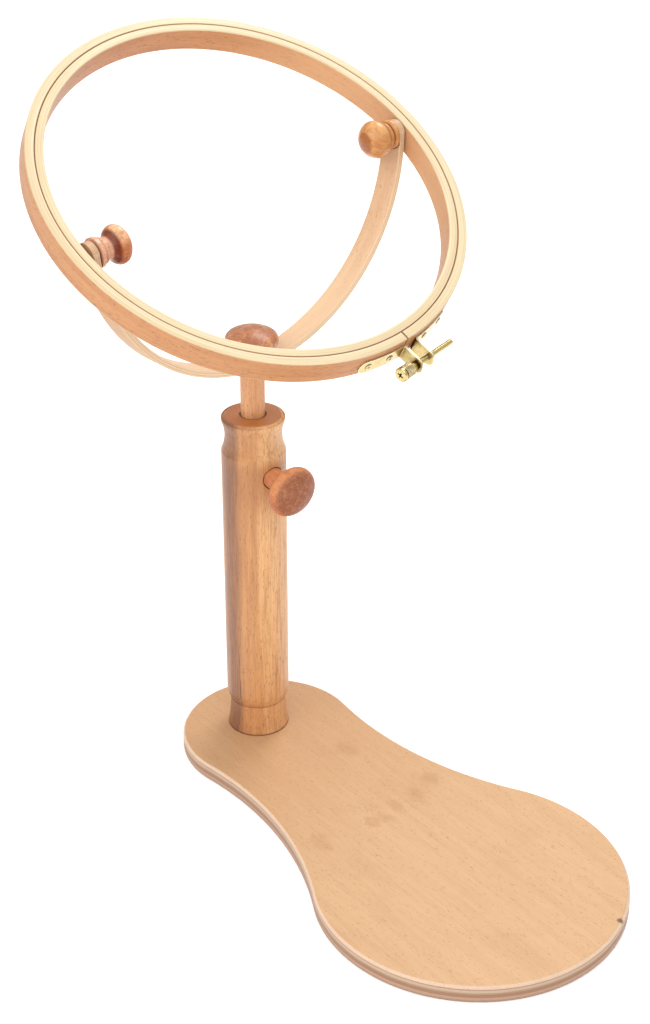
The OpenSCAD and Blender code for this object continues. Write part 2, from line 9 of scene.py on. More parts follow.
import json
import logging
import math
from dataclasses import dataclass, field
from enum import Enum
from typing import Sequence, Union

import bmesh
import bpy
from mathutils import Euler, Matrix, Vector

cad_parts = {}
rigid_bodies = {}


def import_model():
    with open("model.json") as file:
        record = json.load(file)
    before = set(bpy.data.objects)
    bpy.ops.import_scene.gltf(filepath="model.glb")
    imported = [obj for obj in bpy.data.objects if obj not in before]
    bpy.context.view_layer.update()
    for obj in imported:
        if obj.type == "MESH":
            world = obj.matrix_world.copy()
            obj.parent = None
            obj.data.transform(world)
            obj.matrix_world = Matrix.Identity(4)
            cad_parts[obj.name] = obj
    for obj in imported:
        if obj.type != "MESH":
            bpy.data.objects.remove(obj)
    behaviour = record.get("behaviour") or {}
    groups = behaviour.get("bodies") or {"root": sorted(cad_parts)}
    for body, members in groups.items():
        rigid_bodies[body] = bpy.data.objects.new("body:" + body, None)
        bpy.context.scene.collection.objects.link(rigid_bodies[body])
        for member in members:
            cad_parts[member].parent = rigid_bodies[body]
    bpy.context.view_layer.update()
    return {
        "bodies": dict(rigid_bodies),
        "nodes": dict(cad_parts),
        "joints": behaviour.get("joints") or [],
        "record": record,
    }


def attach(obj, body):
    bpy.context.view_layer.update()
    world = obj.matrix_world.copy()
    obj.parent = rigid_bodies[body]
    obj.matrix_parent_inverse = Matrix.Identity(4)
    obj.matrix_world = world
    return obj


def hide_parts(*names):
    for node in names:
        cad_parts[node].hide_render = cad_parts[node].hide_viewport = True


LOG = logging.getLogger("embroidery_stand")

MM = 0.001
TURN = 2 * math.pi
WELD = 1e-6
METAL_RELIEF = 0.01 * MM
ROWS_A_GROOVE = 6
Colour = tuple[float, float, float]
WHITE: Colour = (1.0, 1.0, 1.0)
Tone = Union[Colour, bpy.types.NodeSocket]
Number = Union[float, "Value"]
Place = tuple["Value", "Value", "Value"]


def srgb(red: int, green: int, blue: int) -> Colour:
    """The linear colour of three screen values from 0 to 255.

    Args:
        red: Red, from 0 to 255.
        green: Green, from 0 to 255.
        blue: Blue, from 0 to 255.

    Returns:
        The colour in scene-linear values.
    """

    def linear(value: int) -> float:
        """One channel, made linear."""
        share = value / 255.0
        return share / 12.92 if share <= 0.04045 else ((share + 0.055) / 1.055) ** 2.4

    return linear(red), linear(green), linear(blue)


def rgba(colour: Tone) -> object:
    """A colour with its alpha, or a socket as it is."""
    return (*colour, 1.0) if isinstance(colour, tuple) else colour


class Value:
    """A socket of a node tree, whose arithmetic adds Math nodes."""

    def __init__(self, nodes: "Nodes", socket: bpy.types.NodeSocket) -> None:
        """Wraps a socket.

        Args:
            nodes: The tree that the socket belongs to.
            socket: An output socket.
        """
        self.nodes = nodes
        self.socket = socket

    def __add__(self, other: Number) -> "Value":
        """The sum."""
        return self.nodes.maths("ADD", self, other)

    def __radd__(self, other: Number) -> "Value":
        """The sum, with the number first."""
        return self.nodes.maths("ADD", other, self)

    def __sub__(self, other: Number) -> "Value":
        """The difference."""
        return self.nodes.maths("SUBTRACT", self, other)

    def __rsub__(self, other: Number) -> "Value":
        """The difference, with the number first."""
        return self.nodes.maths("SUBTRACT", other, self)

    def __mul__(self, other: Number) -> "Value":
        """The product."""
        return self.nodes.maths("MULTIPLY", self, other)

    def __rmul__(self, other: Number) -> "Value":
        """The product, with the number first."""
        return self.nodes.maths("MULTIPLY", other, self)

    def __truediv__(self, other: Number) -> "Value":
        """The quotient."""
        return self.nodes.maths("DIVIDE", self, other)


class Nodes:
    """A node tree while it is being made."""

    def __init__(self, tree: bpy.types.NodeTree) -> None:
        """Takes up a tree.

        Args:
            tree: The tree.
        """
        self.tree = tree

    def node(self, kind: str, settings: dict | None = None, inputs: dict | None = None) -> bpy.types.Node:
        """Makes one node.

        Args:
            kind: The node's type.
            settings: Its properties.
            inputs: Values, Value objects or sockets by the input's name or index.

        Returns:
            The node.
        """
        made = self.tree.nodes.new(kind)
        for key, value in (settings or {}).items():
            setattr(made, key, value)
        for key, value in (inputs or {}).items():
            source = value.socket if isinstance(value, Value) else value
            if isinstance(source, bpy.types.NodeSocket):
                self.tree.links.new(source, made.inputs[key])
            else:
                made.inputs[key].default_value = source
        return made

    def value(self, kind: str, settings: dict | None = None, inputs: dict | None = None) -> Value:
        """The first output of a new node, as a Value."""
        return Value(self, self.node(kind, settings, inputs).outputs[0])

    def maths(self, operation: str, *values: Number) -> Value:
        """A Math node's result, from its inputs in order."""
        return self.value("ShaderNodeMath", {"operation": operation}, dict(enumerate(values)))

    def length(self, first: Value, second: Value) -> Value:
        """The length of a vector with two coordinates."""
        return self.maths("SQRT", first * first + second * second)

    def split(self, vector: bpy.types.NodeSocket) -> Place:
        """The three coordinates of a vector."""
        x, y, z = self.node("ShaderNodeSeparateXYZ", None, {0: vector}).outputs
        return Value(self, x), Value(self, y), Value(self, z)

    def vector(self, x: Number = 0.0, y: Number = 0.0, z: Number = 0.0) -> bpy.types.NodeSocket:
        """A vector from its three coordinates."""
        return self.node("ShaderNodeCombineXYZ", None, {0: x, 1: y, 2: z}).outputs[0]

    def around(self, radius: Value, angle: Value, height: Number = 0.0) -> bpy.types.NodeSocket:
        """The point at a radius, an angle and a height about Z."""
        return self.vector(radius * self.maths("COSINE", angle), radius * self.maths("SINE", angle), height)


class Shader(Nodes):
    """A material while its nodes are being made."""

    def __init__(self, name: str) -> None:
        """Starts an empty material.

        Args:
            name: The material's name.
        """
        self.material = bpy.data.materials.new(name)
        self.material.use_nodes = True
        super().__init__(self.material.node_tree)
        self.tree.nodes.clear()

    def mask(self, value: Value, low: float, high: float) -> Value:
        """0 where a value is below low, 1 where it is above high, and smooth between.

        Args:
            value: The value.
            low: Where the mask begins to rise.
            high: Where it is full.

        Returns:
            The mask.
        """
        return self.value(
            "ShaderNodeMapRange",
            {"interpolation_type": "SMOOTHSTEP"},
            {"Value": value, "From Min": low, "From Max": high},
        )

    def fade(self, value: Value, low: float, high: float) -> Value:
        """1 where a value is below low, 0 where it is above high, and smooth between."""
        return 1 - self.mask(value, low, high)

    def near(self, value: Value, centre: float, full: float, gone: float) -> Value:
        """1 where a value is within full of a centre, 0 where it is more than gone away, and smooth between."""
        return self.fade(self.maths("ABSOLUTE", value - centre), full, gone)

    def place(self, centre: Sequence[float] = (0, 0, 0), turn: Sequence[float] = (0, 0, 0)) -> Place:
        """The place on the piece in millimetres, in a frame of its own.

        Args:
            centre: The frame's origin, in metres.
            turn: The frame's Euler angles, in radians.

        Returns:
            The three coordinates.
        """
        coordinate = self.node("ShaderNodeTexCoord").outputs["Object"]
        mapped = self.node(
            "ShaderNodeMapping",
            {"vector_type": "TEXTURE"},
            {"Vector": coordinate, "Location": centre, "Rotation": turn, "Scale": (MM, MM, MM)},
        )
        return self.split(mapped.outputs[0])

    def noise(self, place: Sequence[Number], detail: float = 2.0, roughness: float = 0.5, seed: float = 0.0) -> Value:
        """Noise in three or four dimensions, with one cell to a unit of place.

        Args:
            place: Three or four coordinates.
            detail: The number of finer layers.
            roughness: Their strength.
            seed: Shifts the pattern.

        Returns:
            The noise, about 0.5 in the mean.
        """
        w = place[3] + seed if len(place) > 3 else seed
        return self.value(
            "ShaderNodeTexNoise",
            {"noise_dimensions": "4D"},
            {"Vector": self.vector(*place[:3]), "W": w, "Scale": 1.0, "Detail": detail, "Roughness": roughness},
        )

    def cloud(self, place: Place, size: float, detail: float, roughness: float, seed: float) -> Value:
        """Noise whose cells have the same size each way, in millimetres."""
        return self.noise([coordinate / size for coordinate in place], detail, roughness, seed)

    def crevice(self, reach: float, inside: bool = False) -> Value:
        """How closed in a spot is by what stands within a reach: 0 in the open, 1 in a gap.

        Args:
            reach: How far the surroundings count, in millimetres.
            inside: Whether to look into the piece, which finds its outer edges instead.

        Returns:
            The share that is closed in.
        """
        settings = {"samples": 8, "inside": inside, "only_local": inside}
        made = self.node("ShaderNodeAmbientOcclusion", settings, {"Distance": reach * MM})
        return 1 - Value(self, made.outputs["AO"])

    def blend(self, factor: Number, first: Tone, second: Tone) -> bpy.types.NodeSocket:
        """Mixes two colours.

        Args:
            factor: How much of the second.
            first: A colour or a socket.
            second: A colour or a socket.

        Returns:
            The colour's socket.
        """
        made = self.node("ShaderNodeMix", {"data_type": "RGBA"}, {0: factor, 6: rgba(first), 7: rgba(second)})
        return made.outputs[2]

    def finish(
        self, colour: Tone, rough: Number, bump: Number | None = None, depth: float = 0.0, **others: object
    ) -> bpy.types.Material:
        """Ends the material with a Principled shader.

        Args:
            colour: The base colour or its socket.
            rough: The roughness.
            bump: The height pattern, from 0 to 1.
            depth: The height of a full step of that pattern, in metres.
            others: Other inputs of the shader, with _ for a space.

        Returns:
            The material.
        """
        inputs = {"Base Color": rgba(colour), "Roughness": rough}
        inputs.update({key.replace("_", " "): value for key, value in others.items()})
        if bump is not None:
            raised = self.node("ShaderNodeBump", None, {"Height": bump, "Distance": depth, "Strength": 1.0})
            inputs["Normal"] = raised.outputs[0]
        shader = self.node("ShaderNodeBsdfPrincipled", None, inputs)
        self.node("ShaderNodeOutputMaterial", None, {"Surface": shader.outputs[0]})
        return self.material


@dataclass(frozen=True)
class Frames:
    """The places and turns of the stand's moving groups at rest, as in the part's source."""

    plate_thickness: float = 12 * MM
    column_top: float = 237 * MM
    yoke_seat: float = 270 * MM
    yoke_radius: float = 118.2 * MM
    yoke_thickness: float = 4.4 * MM
    yoke_width: float = 15.5 * MM
    flat_depth: float = 0.3 * MM
    pivot_drop: float = 8 * MM
    yoke_turn: float = math.radians(4.4)
    yoke_lean: float = math.radians(3.5)
    ring_tilt: float = math.radians(30)
    ring_shift: float = 1 * MM
    ring_turn: float = math.radians(6.5)
    ring_inner: float = 119.8 * MM
    ring_outer: float = 125 * MM
    ring_fit: float = 0.3 * MM
    outer_thickness: float = 5.5 * MM
    ring_width: float = 16 * MM
    strip_drop: float = 2 * MM
    clamp_mouth: tuple[float, float, float] = (0.0, -20 * MM, 201 * MM)
    clamp_droop: float = math.radians(4.5)

    @property
    def yoke(self) -> Matrix:
        """The yoke's frame: its circle's centre, X towards the right arm."""
        centre = Vector((0, 0, self.yoke_seat + self.yoke_radius - self.flat_depth))
        return Matrix.Translation(centre) @ Euler((0, -self.yoke_lean, self.yoke_turn)).to_matrix().to_4x4()

    @property
    def rings(self) -> Matrix:
        """The rings' frame: X along the pivots, Z out of the rings' top."""
        shift = Matrix.Translation(Vector((-self.ring_shift, 0, -self.pivot_drop)))
        return self.yoke @ shift @ Matrix.Rotation(self.ring_tilt, 4, "X")

    @property
    def fitting(self) -> Matrix:
        """The brass fitting's frame: X out of the ring, Y along it, to the right."""
        turned = Matrix.Rotation(self.ring_turn - math.pi / 2, 4, "Z")
        return self.rings @ turned @ Matrix.Translation(Vector((0, 0, -self.strip_drop)))

    @property
    def clamp(self) -> Matrix:
        """The clamp knob's frame: at the column's face, Z out along its stud."""
        down = Matrix.Rotation(math.pi / 2 + self.clamp_droop, 4, "X")
        return Matrix.Translation(Vector(self.clamp_mouth)) @ down

    @property
    def yoke_inside(self) -> float:
        """The radius of the yoke's inner face."""
        return self.yoke_radius - self.yoke_thickness

    @property
    def outer_inside(self) -> float:
        """The radius of the outer ring's inner face."""
        return self.ring_outer + self.ring_fit

    @property
    def outer_outside(self) -> float:
        """The radius of the outer ring's outer face."""
        return self.outer_inside + self.outer_thickness


FRAMES = Frames()


class GrainRun(Enum):
    """How a piece's grain runs in its own frame."""

    ALONG_X = "x"
    ALONG_Y = "y"
    ALONG_Z = "z"
    ROUND_Z = "round z"
    ROUND_Y = "round y"

    @property
    def bent(self) -> bool:
        """Whether the grain follows a circle."""
        return self in (GrainRun.ROUND_Z, GrainRun.ROUND_Y)


@dataclass(frozen=True)
class Wood:
    """Varnished or bare wood: growth bands, long streaks, fine fibres and short dark flecks, with painted shade in its
    crevices.
    """

    name: str
    pale: Colour
    deep: Colour
    fleck: Colour
    run: GrainRun
    frame: Matrix = field(default_factory=lambda: Matrix.Identity(4))
    pith: tuple[float, float] = (70.0, 25.0)
    band: float = 3.4
    band_strength: float = 0.3
    band_slope: float = 0.12
    band_wander: float = 5.0
    streak: float = 0.5
    flecks: float = 0.5
    fleck_size: tuple[float, float] = (0.42, 6.5)
    fleck_soft: float = 0.08
    fleck_level: float = 0.64
    fibre: float = 0.32
    rough: float = 0.42
    coat: float = 0.25
    coat_rough: float = 0.16
    specular: float = 0.35
    relief: float = 0.04 * MM
    # Painted shade in crevices: its strength and its reach in millimetres; shade is its colour.
    crevice_shade: float = 0.6
    crevice_shade_reach: float = 1.8
    shade: Colour = srgb(92, 52, 32)
    seed: float = 0.0

    def grain_place(self, shader: Shader) -> Place:
        """The place in the piece's frame, turned so that the last coordinate runs along the grain or its axis.

        Args:
            shader: The shader.

        Returns:
            The three coordinates, in millimetres.
        """
        x, y, z = shader.place(tuple(self.frame.translation), tuple(self.frame.to_euler()))
        if self.run is GrainRun.ALONG_X:
            return y, z, x
        if self.run in (GrainRun.ALONG_Y, GrainRun.ROUND_Y):
            return z, x, y
        return x, y, z

    def drawn(
        self, shader: Shader, place: Place, size: float, stretch: float, detail: float = 2.0, seed: float = 0.0
    ) -> Value:
        """Noise that is drawn out along the grain.

        Args:
            shader: The shader.
            place: The place from grain_place.
            size: The width of a mark across the grain, in mm.
            stretch: How many times longer it is along the grain.
            detail: The noise's finer layers.
            seed: Shifts the pattern.

        Returns:
            The noise.
        """
        across, second, along = place
        if self.run.bent:
            radius = shader.length(across, second)
            reach = FRAMES.ring_outer / MM / (size * stretch)
            spot = (radius / size, along / size, across / radius * reach, second / radius * reach)
        else:
            spot = (across / size, second / size, along / (size * stretch))
        return shader.noise(spot, detail, 0.55, self.seed + seed)

    def bands(self, shader: Shader, place: Place, warp: Value) -> Value:
        """Growth bands: rings about a pith outside a straight piece, or layers in a bent one.

        Args:
            shader: The shader.
            place: The place from grain_place.
            warp: Noise that makes the bands wander.

        Returns:
            The bands, from 0 to 1.
        """
        across, second, along = place
        if self.run.bent:
            depth = shader.length(across, second) + along * self.band_slope
        else:
            depth = shader.length(across - self.pith[0], second - self.pith[1])
        wave = shader.maths("SINE", (depth + warp * self.band_wander) * (TURN / self.band))
        return wave * 0.5 + 0.5

    def ground(self, shader: Shader, place: Place, depth: Value) -> bpy.types.NodeSocket:
        """The wood's colour under its fibres and flecks, darker where the depth is high."""
        return shader.blend(depth, self.pale, self.deep)

    def layers(self, shader: Shader) -> tuple[bpy.types.NodeSocket, Value, Value, Place]:
        """The wood's colour before anything that is special to a piece.

        Args:
            shader: The shader.

        Returns:
            The colour, the fine fibres, the flecks' mask and the place.
        """
        place = self.grain_place(shader)
        warp = self.drawn(shader, place, size=9.0, stretch=8.0, detail=2.0, seed=3.1)
        slow = self.drawn(shader, place, size=5.0, stretch=14.0, detail=3.0, seed=7.7)
        fine = self.drawn(shader, place, size=0.55, stretch=26.0, detail=3.0, seed=11.3)
        coarse = self.drawn(shader, place, size=1.3, stretch=22.0, detail=2.0, seed=29.3)
        spots = self.drawn(shader, place, *self.fleck_size, detail=1.0, seed=17.9)
        marks = shader.mask(spots, self.fleck_level, self.fleck_level + self.fleck_soft)
        bands = self.bands(shader, place, warp)
        depth = shader.mask(slow, 0.36, 0.66) * self.streak + bands * self.band_strength * 0.5
        colour = self.ground(shader, place, depth)
        colour = shader.blend(shader.mask(fine, 0.42, 0.72) * self.fibre, colour, self.deep)
        colour = shader.blend(shader.mask(coarse, 0.48, 0.68) * self.fibre, colour, self.deep)
        colour = shader.blend(marks * self.flecks, colour, self.fleck)
        return colour, fine, marks, place

    def dress(self, shader: Shader, colour: Tone, fine: Value, marks: Value) -> bpy.types.Material:
        """Ends the material with the wood's gloss, its relief and painted shade in its joints and crevices.

        Args:
            shader: The shader.
            colour: The wood's colour.
            fine: The fine fibres.
            marks: The flecks' mask.

        Returns:
            The material.
        """
        rough = self.rough + fine * 0.12 + marks * 0.1
        height = fine * 0.7 + (1 - marks) * 0.5
        # painted shade: darker where ambient occlusion finds a joint, crease or contact line
        closed = shader.mask(shader.crevice(self.crevice_shade_reach), 0.28, 0.8)
        crevice_shaded = shader.blend(closed * self.crevice_shade, colour, self.shade)
        return shader.finish(
            crevice_shaded, rough, height, self.relief, Coat_Weight=(1 - closed) * self.coat, Coat_Roughness=self.coat_rough,
            Specular_IOR_Level=self.specular)

    def material(self) -> bpy.types.Material:
        """Makes the material.

        Returns:
            The material.
        """
        shader = Shader(self.name)
        colour, fine, marks, _ = self.layers(shader)
        return self.dress(shader, colour, fine, marks)


@dataclass(frozen=True)
class ColumnWood(Wood):
    """The column's wood, sawn so that a grey-brown streak of heartwood runs down its left side, with painted light on
    its right side and painted shade low down and under the clamp knob.
    """

    heart: Colour = srgb(112, 76, 60)
    # Lighter tone for the painted highlight on the right side; oranger tone for painted shade and the plate's painted
    # reflection near the foot; darker tone for the painted shadow of the clamp knob.
    painted_highlight_side: Colour = srgb(226, 177, 125)
    low: Colour = srgb(206, 142, 88)
    painted_knob_shadow: Colour = srgb(166, 112, 70)
    end: Colour = srgb(168, 96, 34)
    # The crack's colour, also used for the painted shade of the contact line at the foot.
    crack_and_contact_shade: Colour = srgb(92, 56, 40)
    foot: float = FRAMES.plate_thickness / MM
    top: float = FRAMES.column_top / MM
    crack_side: float = -9.8

    def side(self, shader: Shader, place: Place) -> Value:
        """The place across the column as seen from its front left, with a slow wander.

        Args:
            shader: The shader.
            place: The place from grain_place.

        Returns:
            The place to the right of the column's middle, in millimetres.
        """
        wander = self.drawn(shader, place, size=9.0, stretch=12.0, detail=3.0, seed=41.0) - 0.5
        ripple = self.drawn(shader, place, size=1.6, stretch=30.0, detail=3.0, seed=43.0) - 0.5
        return place[0] * 0.782 - place[1] * 0.623 + wander * 8.0 + ripple * 3.0

    def ground(self, shader: Shader, place: Place, depth: Value) -> bpy.types.NodeSocket:
        """Painted highlight to the right, heartwood to the left, painted shade and the plate's painted reflection
        towards the foot, painted shadow under the clamp knob, and darker end grain on the top.

        Args:
            shader: The shader.
            place: The place from grain_place.
            depth: How dark the wood is, from 0 to 1.

        Returns:
            The colour.
        """
        side, along = self.side(shader, place), place[2]
        colour = shader.blend(depth, self.pale, self.deep)
        # painted highlight: the right side, as seen from the front left, is lighter, standing in for the key light's
        # highlight band
        pale = shader.blend(depth * 0.35, self.painted_highlight_side, self.deep)
        colour = shader.blend(shader.mask(side, 1.0, 5.5), colour, pale)
        # painted shade and the plate's painted orange reflection: darker and oranger towards the foot
        foot = shader.fade(along, 30.0, 105.0)
        colour = shader.blend(foot * 0.35, colour, self.low)
        # painted shadow: a darker band where the clamp knob and the top's cove shade the column
        shoulder = shader.mask(along, 168.0, 192.0) * shader.fade(along, 206.0, 216.0)
        colour = shader.blend(shoulder * 0.6, colour, self.painted_knob_shadow)
        heart = shader.fade(side, -13.0, -6.5) * shader.mask(side, -21.5, -16.0)
        colour = shader.blend(heart * 0.85, colour, self.heart)
        return shader.blend(shader.mask(along, self.top - 0.8, self.top - 0.2) * 0.85, colour, self.end)

    def material(self) -> bpy.types.Material:
        """Makes the material.

        Returns:
            The material.
        """
        shader = Shader(self.name)
        colour, fine, marks, place = self.layers(shader)
        along = place[2]
        line = shader.maths("COMPARE", self.side(shader, place) + fine * 0.8, self.crack_side, 0.28)
        line = line * shader.mask(along, 26.0, 40.0) * shader.fade(along, 62.0, 92.0)
        colour = shader.blend(line * 0.6, colour, self.crack_and_contact_shade)
        # painted shade: a dark contact line where the column stands on the plate
        colour = shader.blend(shader.fade(along, self.foot + 0.5, self.foot + 1.6) * 0.7, colour, self.crack_and_contact_shade)
        return self.dress(shader, colour, fine, marks)


@dataclass(frozen=True)
class RingWood(Wood):
    """A bent ring: cream across its laminations on the top and the bottom, tan on its walls, with painted light on its
    right side.
    """

    cream: Colour = srgb(215, 198, 160)
    cream_deep: Colour = srgb(200, 174, 134)
    painted_light_side: Colour = srgb(222, 176, 128)
    half: float = FRAMES.ring_width / MM / 2
    joint: float = (FRAMES.ring_outer + FRAMES.ring_fit / 2) / MM
    glue_lines: tuple[float, ...] = ()
    joint_stain: Colour = srgb(150, 82, 36)

    def material(self) -> bpy.types.Material:
        """Makes the material.

        Returns:
            The material.
        """
        shader = Shader(self.name)
        colour, fine, marks, place = self.layers(shader)
        across, second, along = place
        radius = shader.length(across, second)
        slow = self.drawn(shader, place, size=2.4, stretch=30.0, detail=2.0, seed=23.0)
        edge = shader.blend(shader.mask(slow, 0.35, 0.7) * 0.6, self.cream, self.cream_deep)
        edge = shader.blend(shader.mask(fine, 0.5, 0.75) * 0.25, edge, self.cream_deep)
        # painted light: the ring is lighter towards its right side, as if lit from there
        colour = shader.blend(shader.mask(across, 50.0, 112.0) * 0.4, colour, self.painted_light_side)
        height = shader.maths("ABSOLUTE", along)
        colour = shader.blend(shader.mask(height, self.half - 0.9, self.half - 0.25), colour, edge)
        for seam in self.glue_lines:
            line = shader.near(radius, seam, 0.04, 0.22)
            colour = shader.blend(line * 0.3, colour, self.deep)
        colour = shader.blend(shader.near(radius, self.joint, 0.2, 0.75) * 0.6, colour, self.joint_stain)
        return self.dress(shader, colour, fine, marks)


@dataclass(frozen=True)
class YokeWood(Wood):
    """The yoke's bent strip, glued from three layers that show on its edges."""

    edge: Colour = srgb(224, 197, 163)
    arm: Colour = srgb(186, 148, 114)
    bowl: Colour = srgb(231, 197, 159)
    outside: Colour = srgb(182, 142, 104)
    half: float = FRAMES.yoke_width / MM / 2
    inner: float = FRAMES.yoke_inside / MM
    layer: float = 1.47

    def material(self) -> bpy.types.Material:
        """Makes the material.

        Returns:
            The material.
        """
        shader = Shader(self.name)
        colour, fine, marks, place = self.layers(shader)
        across, second, along = place
        radius = shader.length(across, second)
        colour = shader.blend(shader.mask(across, -62.0, 4.0) * 0.6, colour, self.arm)
        colour = shader.blend(shader.fade(across, -104.0, -52.0) * 0.7, colour, self.bowl)
        outer = shader.mask(radius, self.inner + 2.5 * self.layer, self.inner + 2.8 * self.layer)
        colour = shader.blend(outer * 0.75, colour, self.outside)
        rim = shader.mask(shader.maths("ABSOLUTE", along), self.half - 0.9, self.half - 0.2)
        colour = shader.blend(rim * 0.6, colour, self.edge)
        for count in (1, 2):
            line = shader.near(radius, self.inner + count * self.layer, 0.05, 0.24)
            colour = shader.blend(line * rim * 0.5, colour, self.fleck)
        return self.dress(shader, colour, fine, marks)


@dataclass(frozen=True)
class KnobWood(Wood):
    """A turned knob: blotches of end grain, a foot and a face in tones of their own, painted light on its upper side
    and painted shade in its crease.
    """

    blotch: Colour = srgb(150, 92, 56)
    blotch_size: float = 5.0
    blotch_strength: float = 0.3
    specks: float = 0.2
    speck: Colour = srgb(112, 66, 46)
    speck_size: float = 1.1
    foot: Colour = srgb(200, 150, 116)
    foot_end: float = -1000.0
    # Strength of the painted shade in the crease.
    crease_shade: float = 0.0
    face: Colour = srgb(150, 96, 74)
    face_begin: float = 1000.0
    face_soft: float = 2.5
    # Painted light on the knob's upper side: its tone, its strength and the height where it begins.
    painted_top_light: Colour = srgb(238, 176, 118)
    painted_top_light_strength: float = 0.0
    middle: float = 0.0

    def ground(self, shader: Shader, place: Place, depth: Value) -> bpy.types.NodeSocket:
        """The knob's tones from its foot to its face, with painted light on its upper side and painted shade in its
        crease.

        Args:
            shader: The shader.
            place: The place from grain_place.
            depth: How dark the wood is, from 0 to 1.

        Returns:
            The colour.
        """
        _, second, along = place
        patch = shader.cloud(place, self.blotch_size, detail=2.0, roughness=0.6, seed=self.seed + 61.0)
        colour = shader.blend(depth, self.pale, self.deep)
        # painted light: the knob is lighter from the middle height up, as if lit from above
        painted_top_light_mask = shader.mask(second + (patch - 0.5) * 8.0, self.middle - 2.0, self.middle + 9.0)
        colour = shader.blend(painted_top_light_mask * self.painted_top_light_strength, colour, self.painted_top_light)
        face = shader.mask(along + (patch - 0.5) * 4.0, self.face_begin, self.face_begin + self.face_soft)
        colour = shader.blend(face * 0.85, colour, self.face)
        colour = shader.blend(shader.mask(patch, 0.46, 0.66) * self.blotch_strength, colour, self.blotch)
        speck = shader.cloud(place, self.speck_size, detail=2.0, roughness=0.6, seed=self.seed + 67.0)
        colour = shader.blend(shader.mask(speck, 0.5, 0.64) * self.specks, colour, self.speck)
        below = shader.fade(along, self.foot_end, self.foot_end + 1.2)
        colour = shader.blend(below * 0.8, colour, self.foot)
        # painted shade: a dark crease just past the foot, between the neck and the cap
        dark = shader.near(along, self.foot_end + 1.4, 0.9, 2.7)
        return shader.blend(dark * self.crease_shade, colour, self.shade)


@dataclass(frozen=True)
class PlateWood(Wood):
    """Plywood: face veneers along the plate and plies between them, which show on its edge."""

    thickness: float = FRAMES.plate_thickness / MM
    stain: Colour = srgb(160, 108, 66)
    grit: Colour = srgb(140, 98, 76)
    hollow: Colour = srgb(78, 46, 28)
    plies: tuple[tuple[float, Colour], ...] = (
        (0.0, srgb(158, 131, 117)), (1.4, srgb(165, 131, 107)), (2.6, srgb(178, 142, 117)), (4.2, srgb(152, 114, 88)),
        (6.6, srgb(163, 133, 110)), (7.6, srgb(187, 160, 134)), (9.4, srgb(163, 133, 110)), (10.2, srgb(216, 186, 160)),
    )
    nick: tuple[float, float] = (42.0, -290.0)
    smudges: tuple[tuple[float, float, float], ...] = (
        (11.0, -128.0, 7.0), (27.0, -127.0, 8.0), (46.0, -117.0, 7.0), (-11.0, -131.0, 6.0),
        (-49.0, -128.0, 9.0), (24.0, -62.0, 9.0), (-2.0, -134.0, 6.0),
    )

    def material(self) -> bpy.types.Material:
        """Makes the material.

        Returns:
            The material.
        """
        shader = Shader(self.name)
        colour, fine, marks, place = self.layers(shader)
        height, across, along = place
        cloud = shader.noise((across / 34.0, along / 46.0, 0.0), detail=3.0, roughness=0.55, seed=5.0)
        colour = shader.blend(shader.mask(cloud, 0.5, 0.75) * 0.16, colour, self.stain)
        # painted shade: the plate darkens towards its back
        colour = shader.blend(shader.mask(along, -190.0, 0.0) * 0.3, colour, self.stain)
        smear = (shader.noise((across / 7.0, along / 9.0, 0.0), detail=2.0, roughness=0.6, seed=15.0) - 0.5) * 14.0
        for east, north, reach in self.smudges:
            wide, long = across - east, along - north
            gone = shader.maths("SQRT", wide * wide + long * long * 0.45) + smear
            colour = shader.blend(shader.fade(gone, reach * 0.3, reach) * 0.24, colour, self.stain)
        wobble = shader.noise((across / 14.0, along / 14.0, height / 30.0), detail=2.0, roughness=0.5, seed=9.0) - 0.5
        level = height + wobble * 0.9
        speckle = shader.noise((across / 0.9, along / 0.9, height / 0.3), detail=2.0, roughness=0.6, seed=21.0)
        side: Tone = self.plies[0][1]
        for begin, tone in self.plies[1:]:
            side = shader.blend(shader.mask(level, begin - 0.18, begin + 0.18), side, tone)
        side = shader.blend(shader.mask(speckle, 0.45, 0.75) * 0.35, side, self.grit)
        between = shader.mask(height, 0.15, 0.4) * shader.fade(height, self.thickness - 0.3, self.thickness - 0.1)
        colour = shader.blend(between, colour, side)
        gone = shader.length(across - self.nick[0], along - self.nick[1]) + (speckle - 0.5) * 1.5
        chip = shader.fade(gone, 1.0, 2.6) * shader.mask(height, 9.2, 10.4)
        colour = shader.blend(chip * 0.8, colour, self.hollow)
        return self.dress(shader, colour, fine, marks)


